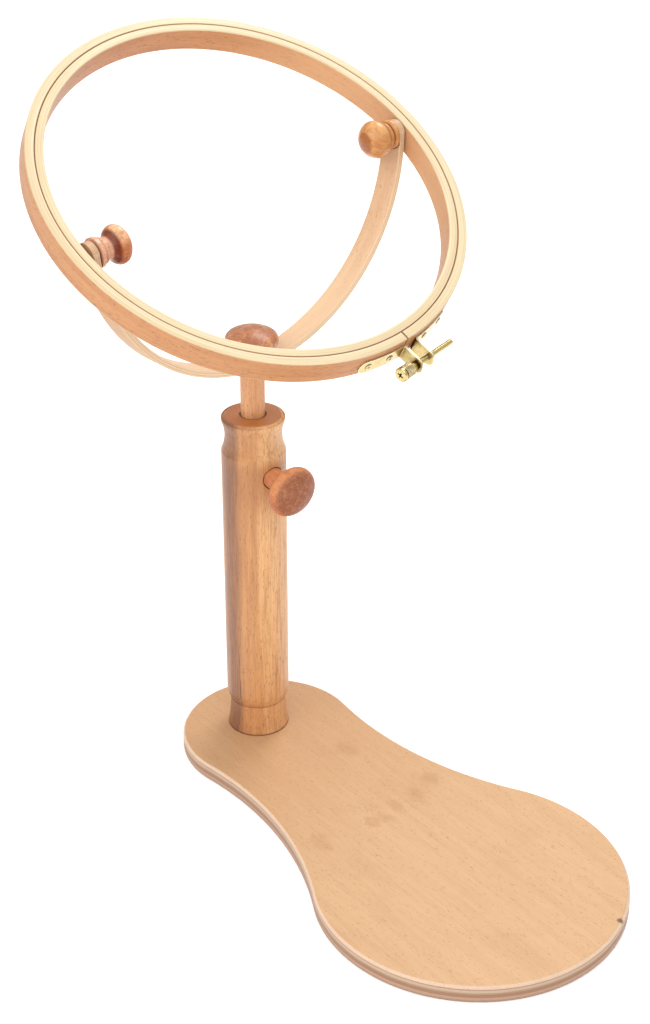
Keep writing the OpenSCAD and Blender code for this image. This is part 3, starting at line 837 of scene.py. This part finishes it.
@dataclass(frozen=True)
class Brass:
    """Brass, turned or polished, with faint stains, fine scratches, painted shade in its hollows and painted highlights
    along its edges.
    """

    name: str
    colour: Colour = srgb(206, 186, 130)
    stain: Colour = srgb(170, 140, 82)
    # Tones of painted shade where the pieces close in, of painted highlight along the edges, and of painted shade in
    # tight crevices.
    painted_hollow_shade: Colour = srgb(104, 78, 36)
    edge: Colour = srgb(252, 246, 224)
    edge_highlight_strength: float = 0.3
    shade: Colour = srgb(58, 40, 18)
    rough: float = 0.2
    seed: float = 0.0

    def material(self) -> bpy.types.Material:
        """Makes the material.

        Returns:
            The material.
        """
        shader = Shader(self.name)
        x, y, z = place = shader.place()
        cloud = shader.cloud(place, 3.2, detail=3.0, roughness=0.6, seed=self.seed)
        scratch = shader.noise((x / 0.15, y / 1.8, z / 0.4), detail=2.0, roughness=0.6, seed=self.seed + 4.0)
        colour = shader.blend(shader.mask(cloud, 0.42, 0.7) * 0.35, self.colour, self.stain)
        # painted shade: darker where the pieces close in, as between the lugs
        colour = shader.blend(shader.mask(shader.crevice(8.0), 0.14, 0.52) * 0.92, colour, self.painted_hollow_shade)
        # painted highlight: near-white along the outer edges, found by looking into the piece
        bright = shader.mask(shader.crevice(0.9, inside=True), 0.16, 0.36)
        colour = shader.blend(bright * self.edge_highlight_strength, colour, self.edge)
        # painted shade in tight crevices, such as the knurl's grooves
        colour = shader.blend(shader.mask(shader.crevice(1.6), 0.2, 0.7) * 0.9, colour, self.shade)
        rough = self.rough + shader.mask(cloud, 0.4, 0.7) * 0.1 + scratch * 0.08
        return shader.finish(colour, rough, scratch, METAL_RELIEF, Metallic=1.0)


@dataclass(frozen=True)
class Steel:
    """Zinc-plated steel."""

    name: str
    colour: Colour = srgb(196, 198, 200)
    stain: Colour = srgb(150, 154, 160)

    def material(self) -> bpy.types.Material:
        """Makes the material.

        Returns:
            The material.
        """
        shader = Shader(self.name)
        cloud = shader.cloud(shader.place(), 3.0, detail=3.0, roughness=0.6, seed=2.0)
        colour = shader.blend(shader.mask(cloud, 0.4, 0.7) * 0.4, self.colour, self.stain)
        return shader.finish(colour, 0.28 + cloud * 0.2, cloud, METAL_RELIEF, Metallic=1.0)


@dataclass(frozen=True)
class Paper:
    """The pale floor under the stand."""

    name: str
    colour: Colour = (0.92, 0.92, 0.92)
    cloudy: Colour = (0.9, 0.9, 0.9)
    glow: float = 0.3

    def material(self) -> bpy.types.Material:
        """Makes the material.

        Returns:
            The material.
        """
        shader = Shader(self.name)
        cloud = shader.cloud(shader.place(), 400.0, detail=1.0, roughness=0.5, seed=0.0)
        colour = shader.blend(cloud * 0.1, self.colour, self.cloudy)
        return shader.finish(
            colour, 0.9, Specular_IOR_Level=0.1, Emission_Color=rgba(WHITE), Emission_Strength=self.glow)


def new_piece(name: str, mesh: bpy.types.Mesh, material: bpy.types.Material | None = None) -> bpy.types.Object:
    """Adds an object at the origin.

    Args:
        name: The object's name.
        mesh: Its mesh, in the row frame.
        material: Its material.

    Returns:
        The object.
    """
    piece = bpy.data.objects.new(name, mesh)
    bpy.context.scene.collection.objects.link(piece)
    if material is not None:
        mesh.materials.clear()
        mesh.materials.append(material)
    return piece


def paint(frame: dict, material: bpy.types.Material, *nodes: str) -> None:
    """Gives CAD nodes a material.

    Args:
        frame: The loaded frame.
        material: The material.
        nodes: The nodes' names.
    """
    for name in nodes:
        piece = frame["nodes"][name]
        for slot in piece.material_slots:
            slot.material = material
        LOG.info("%s dressed in %s", name, material.name)


class Rule(Nodes):
    """A Geometry Nodes tree that makes one mesh from named sizes."""

    def __init__(self, name: str) -> None:
        """Starts an empty tree.

        Args:
            name: The tree's name.
        """
        super().__init__(bpy.data.node_groups.new(name, "GeometryNodeTree"))
        self.tree.interface.new_socket("Geometry", in_out="OUTPUT", socket_type="NodeSocketGeometry")
        self.entry = self.node("NodeGroupInput")
        self.values: dict[str, object] = {}

    def size(self, name: str, value: object, kind: str = "NodeSocketFloat") -> Value:
        """Adds a named input.

        Args:
            name: The input's name.
            value: Its value on this object.
            kind: Its socket type.

        Returns:
            The socket that carries it.
        """
        socket = self.tree.interface.new_socket(name, in_out="INPUT", socket_type=kind)
        self.values[socket.identifier] = value
        return Value(self, self.entry.outputs[name])

    def mesh(self, geometry: bpy.types.NodeSocket, material: bpy.types.Material, place: Matrix) -> bpy.types.Mesh:
        """Ends the tree, runs it once and gives the plain mesh.

        Args:
            geometry: What the tree makes.
            material: The material for all of it.
            place: Where the mesh goes in the row frame.

        Returns:
            The mesh, with outward normals.
        """
        real = self.node("GeometryNodeRealizeInstances", None, {0: geometry}).outputs[0]
        dressed = self.node("GeometryNodeSetMaterial", None, {"Geometry": real, "Material": material}).outputs[0]
        self.node("NodeGroupOutput", None, {0: dressed})
        host = bpy.data.objects.new(self.tree.name, bpy.data.meshes.new(self.tree.name))
        bpy.context.scene.collection.objects.link(host)
        modifier = host.modifiers.new("rule", "NODES")
        modifier.node_group = self.tree
        for identifier, value in self.values.items():
            modifier[identifier] = value
        made = bpy.data.meshes.new_from_object(host.evaluated_get(bpy.context.evaluated_depsgraph_get()))
        bpy.data.objects.remove(host)
        made.transform(place)
        return tidy_mesh(made)


def tidy_mesh(mesh: bpy.types.Mesh, sharp: float = 32.0, close: bool = True) -> bpy.types.Mesh:
    """Merges doubles, closes open ends, turns the faces outwards and shades smooth up to an angle.

    Args:
        mesh: The mesh.
        sharp: The angle in degrees from which an edge stays sharp.
        close: Whether open ends are filled.

    Returns:
        The same mesh.
    """
    work = bmesh.new()
    work.from_mesh(mesh)
    bmesh.ops.remove_doubles(work, verts=work.verts, dist=WELD)
    if close:
        bmesh.ops.holes_fill(work, edges=[edge for edge in work.edges if edge.is_boundary], sides=0)
    bmesh.ops.recalc_face_normals(work, faces=work.faces)
    for face in work.faces:
        face.smooth = True
    limit = math.radians(sharp)
    for edge in work.edges:
        edge.smooth = edge.calc_face_angle(0.0) < limit
    work.to_mesh(mesh)
    work.free()
    return mesh


def lathe(section: Sequence[tuple[float, float]], steps: int = 64) -> bpy.types.Mesh:
    """Turns a section about Z.

    Args:
        section: Radii and heights in millimetres, from one end of the piece to the other.
        steps: The number of steps round.

    Returns:
        The mesh.
    """
    mesh = bpy.data.meshes.new("turned")
    ways = [(math.cos(TURN * i / steps), math.sin(TURN * i / steps)) for i in range(steps)]
    points = [
        (radius * MM * east, radius * MM * north, height * MM) for radius, height in section for east, north in ways]
    faces = [
        (row * steps + i, row * steps + (i + 1) % steps, (row + 1) * steps + (i + 1) % steps, (row + 1) * steps + i)
        for row in range(len(section) - 1)
        for i in range(steps)
    ]
    mesh.from_pydata(points, [], faces)
    return mesh


def joined(name: str, meshes: Sequence[bpy.types.Mesh], material: bpy.types.Material) -> bpy.types.Object:
    """One piece from several closed meshes.

    Args:
        name: The piece's name.
        meshes: The meshes, in the row frame.
        material: The material of them all.

    Returns:
        The piece.
    """
    work = bmesh.new()
    for mesh in meshes:
        work.from_mesh(mesh)
    whole = bpy.data.meshes.new(name)
    work.to_mesh(whole)
    work.free()
    return new_piece(name, whole, material)


def carved(mesh: bpy.types.Mesh, cutter: bpy.types.Mesh) -> bpy.types.Mesh:
    """One closed mesh less another.

    Args:
        mesh: What is cut.
        cutter: What cuts it.

    Returns:
        The cut mesh.
    """
    whole, knife = new_piece("whole", mesh), new_piece("knife", cutter)
    cut = whole.modifiers.new("cut", "BOOLEAN")
    cut.operation, cut.solver, cut.use_self, cut.object = "DIFFERENCE", "EXACT", True, knife
    made = bpy.data.meshes.new_from_object(whole.evaluated_get(bpy.context.evaluated_depsgraph_get()))
    bpy.data.objects.remove(whole)
    bpy.data.objects.remove(knife)
    return tidy_mesh(made, close=False)


def cross_bit(length: float, width: float, depth: float, taper: float = 0.45, proud: float = 0.6) -> bpy.types.Mesh:
    """The tapered bit of a cross-head screwdriver, pointing up from the origin's plane.

    Args:
        length: The cross's length at the face, in millimetres.
        width: The width of its arms.
        depth: The recess's depth.
        taper: The share of the length that is left at the tip.
        proud: How far the bit stands out of the face.

    Returns:
        The mesh.
    """
    work = bmesh.new()
    for turn in (0.0, math.pi / 2):
        made = bmesh.ops.create_cube(work, size=1.0)["verts"]
        for corner in made:
            x, y, z = corner.co
            share, end = (1.0, -proud) if z < 0 else (taper, depth)
            corner.co = Vector((x * length * share, y * width * (0.5 + share / 2), end))
        bmesh.ops.rotate(work, verts=made, cent=(0, 0, 0), matrix=Matrix.Rotation(turn, 3, "Z"))
    mesh = bpy.data.meshes.new("cross")
    bmesh.ops.scale(work, vec=(MM, MM, MM), verts=work.verts)
    work.to_mesh(mesh)
    work.free()
    return mesh


def moved(mesh: bpy.types.Mesh, place: Matrix) -> bpy.types.Mesh:
    """The same mesh, put in its place, tidied and turned outwards."""
    mesh.transform(place)
    return tidy_mesh(mesh)


def upright(height: float) -> Matrix:
    """A move of so many millimetres along Z."""
    return Matrix.Translation(Vector((0, 0, height * MM)))


@dataclass(frozen=True)
class Grooves:
    """Helical grooves round a cylinder, in metres: a screw's thread, or a diamond knurl where they cross."""

    depth: float
    pitch: float
    starts: int = 1
    crossed: bool = False
    crest: float = 1.25

    @property
    def round_steps(self) -> int:
        """The number of points round the cylinder, enough for each groove."""
        return ROWS_A_GROOVE * self.starts + 1 if self.starts > 1 else 33


def grooved_cylinder(
    name: str, radius: float, length: float, grooves: Grooves, place: Matrix, material: bpy.types.Material
) -> bpy.types.Mesh:
    """A cylinder along Z with helical grooves.

    Args:
        name: The tree's name.
        radius: The outer radius in metres.
        length: The length in metres.
        grooves: The grooves.
        place: Where the cylinder's lower end goes.
        material: The material.

    Returns:
        The mesh.
    """
    rule = Rule(name)
    outer = rule.size("Radius", radius)
    reach = rule.size("Length", length)
    cut = rule.size("Groove depth", grooves.depth)
    climb = rule.size("Pitch", grooves.pitch)
    count = rule.size("Starts", float(grooves.starts))
    cross = rule.size("Crossed", float(grooves.crossed))
    rows = max(int(length / grooves.pitch * ROWS_A_GROOVE), 8)
    grid = rule.node(
        "GeometryNodeMeshGrid", None,
        {"Size X": reach, "Size Y": TURN, "Vertices X": rows, "Vertices Y": grooves.round_steps},
    ).outputs[0]
    along, angle, _ = rule.split(rule.node("GeometryNodeInputPosition").outputs[0])
    height = along + reach * 0.5
    turns = angle * (count / TURN)
    rise = height / climb
    right_hand = rule.maths("PINGPONG", rise + turns, 0.5)
    left_hand = rule.maths("MAXIMUM", rule.maths("PINGPONG", rise - turns, 0.5), 1.0 - cross)
    ridge = 2.0 * rule.maths("MINIMUM", right_hand, left_hand)
    flat = rule.maths("MINIMUM", ridge * grooves.crest, 1.0)
    bent = rule.around(outer - (1.0 - flat) * cut, angle, height)
    tube = rule.node("GeometryNodeSetPosition", None, {"Geometry": grid, "Position": bent}).outputs[0]
    return rule.mesh(tube, material, place)


@dataclass(frozen=True)
class RingPlan:
    """One bent ring, in metres and radians; a full turn closes it."""

    name: str
    node: str
    body: str
    inner: float
    outer: float
    wood: RingWood
    start: float = 0.0
    span: float = TURN

    def swept(self, corner: float, steps: int) -> bpy.types.Mesh:
        """Sweeps a bar with round corners along the ring.

        Args:
            corner: The corners' radius.
            steps: The number of points along it.

        Returns:
            The mesh.
        """
        rule = Rule(self.name)
        middle = rule.size("Middle radius", (self.inner + self.outer) / 2)
        thick = rule.size("Thickness", self.outer - self.inner)
        deep = rule.size("Width", FRAMES.ring_width)
        soft = rule.size("Corner radius", corner)
        along = {"Resolution": steps, "Radius": middle}
        if self.span < TURN:
            along["Start Angle"] = rule.size("Start", self.start)
            along["Sweep Angle"] = rule.size("Sweep", self.span)
        kind = "GeometryNodeCurveArc" if self.span < TURN else "GeometryNodeCurvePrimitiveCircle"
        path = rule.node(kind, None, along).outputs[0]
        path = rule.node("GeometryNodeSetCurveNormal", {"mode": "Z_UP"}, {0: path}).outputs[0]
        bar = rule.node("GeometryNodeCurvePrimitiveQuadrilateral", None, {"Width": thick, "Height": deep}).outputs[0]
        bar = rule.node(
            "GeometryNodeFilletCurve", {"mode": "POLY"}, {"Curve": bar, "Radius": soft, "Count": 5}).outputs[0]
        swept = rule.node(
            "GeometryNodeCurveToMesh", None, {"Curve": path, "Profile Curve": bar, "Fill Caps": True}).outputs[0]
        return rule.mesh(swept, self.wood.material(), FRAMES.rings)


@dataclass
class SeatPlate:
    """The plywood plate; the screws that hold the column are dressed with the metalwork."""

    def build(self, frame: dict) -> None:
        """Dresses the plate.

        Args:
            frame: The loaded frame.
        """
        plywood = PlateWood(
            "seat_plywood", pale=srgb(205, 165, 124), deep=srgb(186, 140, 98), fleck=srgb(140, 94, 62),
            run=GrainRun.ALONG_Y, pith=(-160.0, 20.0), band=9.0, band_strength=0.1, streak=0.2, flecks=0.6, fibre=0.2,
            rough=0.52, coat=0.05, seed=2.0,
        )
        paint(frame, plywood.material(), "base_plate")


@dataclass
class Column:
    """The turned column; its brass insert is dressed with the metalwork."""

    def build(self, frame: dict) -> None:
        """Dresses the column.

        Args:
            frame: The loaded frame.
        """
        beech = ColumnWood(
            "turned_beech", pale=srgb(203, 149, 96), deep=srgb(174, 118, 77), fleck=srgb(126, 72, 44),
            run=GrainRun.ALONG_Z, pith=(48.0, 30.0), band=5.0, band_strength=0.3, streak=0.6, flecks=0.5,
            fleck_size=(0.52, 8.0), fleck_level=0.6, fibre=0.5, rough=0.38, coat=0.12, seed=13.0,
        )
        paint(frame, beech.material(), "column")


@dataclass
class Rod:
    """The sliding rod."""

    def build(self, frame: dict) -> None:
        """Dresses the rod.

        Args:
            frame: The loaded frame.
        """
        beech = Wood(
            "dowel_beech", pale=srgb(216, 161, 113), deep=srgb(188, 128, 86), fleck=srgb(132, 80, 52),
            run=GrainRun.ALONG_Z, pith=(22.0, 40.0), band=2.6, band_strength=0.4, streak=0.5, flecks=0.5,
            fleck_size=(0.55, 5.0), fleck_level=0.6, fibre=0.45, rough=0.4, coat=0.1, seed=31.0,
        )
        paint(frame, beech.material(), "rod")


@dataclass
class Yoke:
    """The bent yoke."""

    def build(self, frame: dict) -> None:
        """Dresses the yoke.

        Args:
            frame: The loaded frame.
        """
        beech = YokeWood(
            "laminated_beech", pale=srgb(219, 181, 144), deep=srgb(199, 155, 116), fleck=srgb(140, 98, 70),
            run=GrainRun.ROUND_Y, frame=FRAMES.yoke, band=1.5, band_strength=0.25, streak=0.45, flecks=0.5,
            fleck_size=(0.5, 6.0), fleck_level=0.6, rough=0.48, coat=0.04, seed=5.0,
        )
        paint(frame, beech.material(), "yoke")


@dataclass
class Rings:
    """The two bent rings, swept round their common axis."""

    corner: float = 0.75 * MM
    cut_width: float = 1.2 * MM
    cut_offset: float = 3.8 * MM
    snug: float = 0.15 * MM
    within: float = 0.06 * MM
    steps: int = 240

    @property
    def outside(self) -> float:
        """The outer ring's outside radius, a hair inside the solid's."""
        return FRAMES.outer_outside - self.within

    def cut_angles(self) -> tuple[float, float]:
        """Where the outer ring lies round its cut.

        Returns:
            The angle where it begins and the angle that it spans, in radians.
        """
        middle = self.outside - FRAMES.outer_thickness / 2
        gap = self.cut_width / middle
        at = FRAMES.ring_turn - math.pi / 2 - math.asin(self.cut_offset / middle)
        return at + gap / 2, TURN - gap

    def build(self, frame: dict) -> None:
        """Makes and dresses the rings.

        Args:
            frame: The loaded frame; not used.
        """
        # The rings take a weaker painted shade in their crevices.
        common = {
            "run": GrainRun.ROUND_Z, "frame": FRAMES.rings, "band_strength": 0.3, "streak": 0.45, "flecks": 0.6,
            "fleck_size": (0.5, 6.0), "fleck_level": 0.6, "rough": 0.42, "coat": 0.08, "crevice_shade": 0.3,
        }
        inner_wood = RingWood(
            "inner_ring_beech", pale=srgb(189, 132, 87), deep=srgb(167, 108, 67), fleck=srgb(124, 74, 46),
            band=2.6, seed=8.0, glue_lines=(121.5, 123.3), **common)
        outer_wood = RingWood(
            "outer_ring_beech", pale=srgb(196, 141, 94), deep=srgb(174, 115, 72), fleck=srgb(124, 76, 48),
            band=2.75, seed=19.0, glue_lines=(127.1, 129.0), **common)
        inside = FRAMES.outer_inside - self.snug
        for plan in (
            RingPlan("inner_hoop", "inner_ring", "hoop", FRAMES.ring_inner, FRAMES.ring_outer, inner_wood),
            RingPlan(
                "outer_hoop_band", "outer_ring", "outer_hoop", inside, self.outside, outer_wood, *self.cut_angles()),
        ):
            mesh = plan.swept(self.corner, self.steps)
            piece = new_piece(plan.name, mesh)
            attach(piece, plan.body)
            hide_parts(plan.node)
            LOG.info("%s swept, %d faces", plan.name, len(mesh.polygons))


@dataclass
class Knobs:
    """The top knob, the clamp knob and the two pivot knobs."""

    def build(self, frame: dict) -> None:
        """Dresses the knobs.

        Args:
            frame: The loaded frame.
        """
        satin = {"band": 2.2, "band_strength": 0.4, "streak": 0.5, "pith": (16.0, 9.0), "fleck": srgb(112, 66, 46)}
        # The clamp, left and right knobs carry painted light on their upper sides, and the left knob painted shade in
        # its crease.
        knobs = {
            "top_knob": KnobWood(
                "top_knob_wood", pale=srgb(188, 122, 80), deep=srgb(144, 82, 52), run=GrainRun.ALONG_Z,
                blotch=srgb(222, 164, 116), blotch_size=6.0, blotch_strength=0.65, specks=0.4,
                speck=srgb(124, 72, 46), flecks=0.2, rough=0.34, coat=0.25, coat_rough=0.25,
                shade=srgb(104, 50, 28), seed=50.0, **satin),
            "clamp_knob": KnobWood(
                "clamp_knob_wood", pale=srgb(192, 118, 68), deep=srgb(156, 82, 44), run=GrainRun.ALONG_Z,
                frame=FRAMES.clamp, face=srgb(122, 70, 50), face_begin=20.5, blotch=srgb(190, 128, 94), blotch_size=3.2,
                blotch_strength=0.4, specks=0.4, speck=srgb(200, 146, 118), speck_size=0.8, flecks=0.3, rough=0.44,
                coat=0.05, painted_top_light=srgb(220, 150, 96), painted_top_light_strength=0.55, specular=0.25, shade=srgb(90, 46, 26),
                seed=57.0, **satin),
            "left_knob": KnobWood(
                "left_knob_wood", pale=srgb(196, 120, 74), deep=srgb(150, 80, 48), run=GrainRun.ALONG_X,
                frame=FRAMES.yoke, blotch=srgb(116, 54, 34), blotch_size=6.0, blotch_strength=0.5, flecks=0.25,
                rough=0.3, coat=0.3, coat_rough=0.2, foot=srgb(224, 174, 144), foot_end=-103.4, crease_shade=0.95,
                painted_top_light=srgb(252, 202, 152), painted_top_light_strength=0.85, middle=-6.0, specular=0.2, shade=srgb(104, 38, 18),
                seed=64.0, **satin),
            "right_knob": KnobWood(
                "right_knob_wood", pale=srgb(210, 152, 92), deep=srgb(176, 112, 60), run=GrainRun.ALONG_X,
                frame=FRAMES.yoke @ Matrix.Rotation(math.pi, 4, "Z"), blotch=srgb(168, 98, 44), blotch_size=7.0,
                blotch_strength=0.5, flecks=0.2, rough=0.22, coat=0.35, coat_rough=0.14, face=srgb(140, 74, 32),
                face_begin=-92.6, face_soft=0.9, painted_top_light=srgb(240, 186, 124), painted_top_light_strength=0.5, middle=-4.0,
                specular=0.25, shade=srgb(110, 54, 22), seed=71.0, **satin),
        }
        for node, wood in knobs.items():
            paint(frame, wood.material(), node)


@dataclass
class TensionFitting:
    """The brass strips, their rivets and the screw that draws the outer ring together, in millimetres."""

    lug_reach: float = 12.0
    lug_gap: float = 9.0
    strip: float = 1.0
    bend: float = 0.8
    tab: float = 31.0
    rivet_pitch: float = 15.5
    rivet_shift: float = 1.2
    shank: float = 3.5
    shank_past: float = 21.0
    shoulder: float = 3.4
    head: float = 8.6
    head_length: float = 10.0
    thread: Grooves = Grooves(depth=0.1 * MM, pitch=0.6 * MM)
    knurl: Grooves = Grooves(depth=0.36 * MM, pitch=1.0 * MM, starts=26, crossed=True)
    rivet_steps: int = 32
    soft_edge: float = 0.22 * MM
    rivet_section: tuple[tuple[float, float], ...] = (
        (0.0, 2.9), (0.7, 2.9), (0.7, 0.3), (2.0, 0.3), (2.04, 0.8), (1.2, 0.8), (1.2, 6.5), (2.08, 6.55),
        (2.1, 6.75), (1.9, 7.02), (1.5, 7.2), (1.15, 7.16), (0.85, 6.95), (0.7, 6.6), (0.62, 6.0), (0.0, 5.9),
    )

    @property
    def ring_radius(self) -> float:
        """The outer ring's outside radius."""
        return FRAMES.outer_outside / MM

    def screw_frame(self) -> Matrix:
        """Where the screw sits.

        Returns:
            Its frame: Z along it to the tip, from under the left lug.
        """
        under = -(self.lug_gap / 2 + self.strip) - 0.1
        place = Vector(((self.ring_radius + self.lug_reach) * MM, under * MM, 0))
        return FRAMES.fitting @ Matrix.Translation(place) @ Matrix.Rotation(-math.pi / 2, 4, "X")

    def screw(self, brass: bpy.types.Material) -> None:
        """Makes the tension screw: a threaded shank, a shoulder and a knurled head with a cross.

        Args:
            brass: The screw's material.
        """
        place = self.screw_frame()
        radius, wide = self.shank / 2, self.head / 2
        tip = 2 * (self.lug_gap / 2 + self.strip) + self.shank_past
        end = -self.shoulder - self.head_length
        knurl_low, knurl_high = end + 2.6, -self.shoulder - 1.2
        thread = grooved_cylinder("tension_thread", radius * MM, (tip - 0.6) * MM, self.thread, place, brass)
        knurl = grooved_cylinder(
            "tension_knurl", wide * MM, (knurl_high - knurl_low) * MM, self.knurl, place @ upright(knurl_low), brass)
        point = lathe([
            (0.0, tip - 0.62), (radius - 0.02, tip - 0.62), (radius - 0.1, tip - 0.5), (radius - 0.6, tip), (0.0, tip)])
        collar = lathe([
            (0.0, knurl_high - 0.3), (wide - 0.45, knurl_high - 0.3), (wide - 0.5, knurl_high + 0.25),
            (radius + 0.85, -self.shoulder), (radius + 0.8, -0.35), (radius + 0.6, 0.0), (0.0, 0.0)])
        face = lathe([
            (0.0, end), (wide - 1.1, end), (wide - 0.75, end + 0.06), (wide - 0.3, end + 0.3), (wide - 0.05, end + 0.7),
            (wide, end + 1.1), (wide, end + 1.9), (wide - 0.2, end + 2.15), (wide - 0.5, end + 2.3),
            (wide - 0.55, end + 2.8), (0.0, end + 2.8)])
        face = carved(tidy_mesh(face), moved(cross_bit(length=4.6, width=1.2, depth=1.8), upright(end)))
        solids = [thread, knurl, moved(point, place), moved(collar, place), moved(face, place)]
        piece = joined("tension_screw_turned", solids, brass)
        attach(piece, "tension_screw_alone")
        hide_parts("tension_screw")
        LOG.info("tension screw turned, %d faces", len(piece.data.polygons))

    def rivets(self, brass: bpy.types.Material) -> None:
        """Makes one hollow rivet and sets it four times round the ring.

        Args:
            brass: The rivets' material.
        """
        pattern = new_piece("rivet", tidy_mesh(lathe(self.rivet_section, self.rivet_steps)), brass)
        bend_radius = self.ring_radius + self.strip + self.bend
        bend_angle = math.asin((self.lug_gap / 2 + self.strip + self.bend) / bend_radius)
        first = bend_angle + ((self.tab - self.rivet_pitch) / 2 + self.rivet_shift) / self.ring_radius
        rule = Rule("rivet_row")
        radius = rule.size("Radius", FRAMES.outer_inside)
        begin = rule.size("First angle", first)
        pitch = rule.size("Angle between two", self.rivet_pitch / self.ring_radius)
        shape = rule.size("Rivet", pattern, "NodeSocketObject")
        spots = rule.node("GeometryNodePoints", None, {"Count": 4}).outputs[0]
        index = rule.value("GeometryNodeInputIndex")
        side = rule.maths("LESS_THAN", index, 1.5) * -2.0 + 1.0
        angle = side * (rule.maths("MODULO", index, 2.0) * pitch + begin)
        spots = rule.node(
            "GeometryNodeSetPosition", None, {"Geometry": spots, "Position": rule.around(radius, angle)}).outputs[0]
        turn = rule.vector(y=math.pi / 2, z=angle)
        source = rule.node("GeometryNodeObjectInfo", None, {"Object": shape}).outputs["Geometry"]
        row = rule.node(
            "GeometryNodeInstanceOnPoints", None, {"Points": spots, "Instance": source, "Rotation": turn}).outputs[0]
        mesh = rule.mesh(row, brass, FRAMES.fitting)
        bpy.data.objects.remove(pattern)
        piece = new_piece("rivets_set", mesh)
        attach(piece, "outer_hoop")
        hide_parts("bracket_rivets")
        LOG.info("rivets set, %d faces", len(mesh.polygons))

    def build(self, frame: dict) -> None:
        """Makes and dresses the fitting.

        Args:
            frame: The loaded frame.
        """
        brass = Brass("fitting_brass").material()
        strips = ("left_bracket", "right_bracket")
        # The strips get strong painted highlights along their edges.
        paint(frame, Brass("strip_brass", edge_highlight_strength=0.9).material(), *strips)
        for name in strips:
            soft = frame["nodes"][name].modifiers.new("rounded edges", "BEVEL")
            soft.width, soft.segments = self.soft_edge, 2
            soft.limit_method, soft.angle_limit = "ANGLE", math.radians(50)
        self.screw(brass)
        self.rivets(brass)


@dataclass
class Metalwork:
    """The inserts, studs and screws inside the stand."""

    def build(self, frame: dict) -> None:
        """Dresses the metal pieces.

        Args:
            frame: The loaded frame.
        """
        paint(
            frame, Brass("turned_brass", rough=0.3, seed=9.0).material(),
            "clamp_insert", "top_knob_insert", "left_knob_insert", "right_knob_insert",
        )
        paint(frame, Steel("zinc_steel").material(), "column_screws", "yoke_stud", "clamp_stud", "pivot_screws")


@dataclass(frozen=True)
class Lamp:
    """A square soft light: its name, its place, its side in metres and its power in watts."""

    name: str
    place: tuple[float, float, float]
    side: float
    power: float


@dataclass
class Studio:
    """The floor, the lights and the camera."""

    camera_place: tuple[float, float, float] = (-0.6790, -0.9224, 0.8187)
    camera_azimuth: float = math.radians(38.54)
    camera_drop: float = math.radians(29.602)
    focal_pixels: float = 2117.5
    image_height: int = 1024
    film: float = 36.0
    floor_size: float = 9.0
    sky_rise: tuple[float, float] = (0.0, 0.6)
    sky_power: tuple[float, float] = (0.5, 0.9)
    aim: tuple[float, float, float] = (0.0, -0.1, 0.2)
    lamps: tuple[Lamp, ...] = (
        Lamp("key", (1.0, 0.45, 1.75), 0.7, 15.0),
        Lamp("fill", (-1.0, -1.0, 1.4), 1.5, 14.0),
        Lamp("side", (-1.5, 0.1, 1.3), 1.2, 6.0),
    )

    def floor(self) -> None:
        """Lays the floor."""
        mesh = bpy.data.meshes.new("floor")
        half = self.floor_size / 2
        mesh.from_pydata([(-half, -half, 0), (half, -half, 0), (half, half, 0), (-half, half, 0)], [], [(0, 1, 2, 3)])
        piece = new_piece("floor", mesh, Paper("pale_paper").material())

    def hang(self, lamp: Lamp) -> None:
        """Hangs a light that shines at the stand.

        Args:
            lamp: The light.
        """
        data = bpy.data.lights.new(lamp.name, "AREA")
        data.shape = "SQUARE"
        data.size = lamp.side
        data.energy = lamp.power
        light = bpy.data.objects.new(lamp.name, data)
        bpy.context.scene.collection.objects.link(light)
        light.location = lamp.place
        light.rotation_euler = (Vector(self.aim) - Vector(lamp.place)).to_track_quat("-Z", "Y").to_euler()

    def sky(self) -> None:
        """Makes the even light from all round."""
        world = bpy.data.worlds.new("studio")
        world.use_nodes = True
        nodes = Nodes(world.node_tree)
        nodes.tree.nodes.clear()
        _, _, height = nodes.split(nodes.node("ShaderNodeTexCoord").outputs["Generated"])
        low, high = self.sky_rise
        dim, bright = self.sky_power
        power = nodes.value(
            "ShaderNodeMapRange",
            {"interpolation_type": "SMOOTHSTEP"},
            {"Value": height, "From Min": low, "From Max": high, "To Min": dim, "To Max": bright},
        )
        light = nodes.node("ShaderNodeBackground", None, {"Color": rgba(WHITE), "Strength": power})
        nodes.node("ShaderNodeOutputWorld", None, {"Surface": light.outputs[0]})
        bpy.context.scene.world = world

    def camera(self) -> None:
        """Sets up the camera where the photograph was taken from."""
        data = bpy.data.cameras.new("photo_view")
        data.sensor_fit = "AUTO"
        data.sensor_width = self.film
        data.lens = self.focal_pixels * self.film / self.image_height
        data.clip_start = 0.01
        data.clip_end = 50.0
        eye = bpy.data.objects.new("photo_view", data)
        bpy.context.scene.collection.objects.link(eye)
        az, drop = self.camera_azimuth, self.camera_drop
        ahead = Vector((math.cos(drop) * math.sin(az), math.cos(drop) * math.cos(az), -math.sin(drop)))
        right = Vector((math.cos(az), -math.sin(az), 0.0))
        up = right.cross(ahead)
        turn = Matrix((right, up, -ahead)).transposed().to_4x4()
        eye.matrix_world = Matrix.Translation(Vector(self.camera_place)) @ turn
        bpy.context.scene.camera = eye

    def build(self) -> None:
        """Makes the studio."""
        self.floor()
        for lamp in self.lamps:
            self.hang(lamp)
        self.sky()
        bpy.context.scene.view_settings.view_transform = "Standard"
        self.camera()


def main() -> None:
    """Loads the frame, dresses each group and sets up the studio."""
    logging.basicConfig(level=logging.INFO, format="%(message)s")
    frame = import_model()
    for group in (SeatPlate(), Column(), Rod(), Yoke(), Rings(), Knobs(), TensionFitting(), Metalwork()):
        group.build(frame)
        LOG.info("%s done", type(group).__name__)
    Studio().build()


if __name__ == "__main__":
    main()
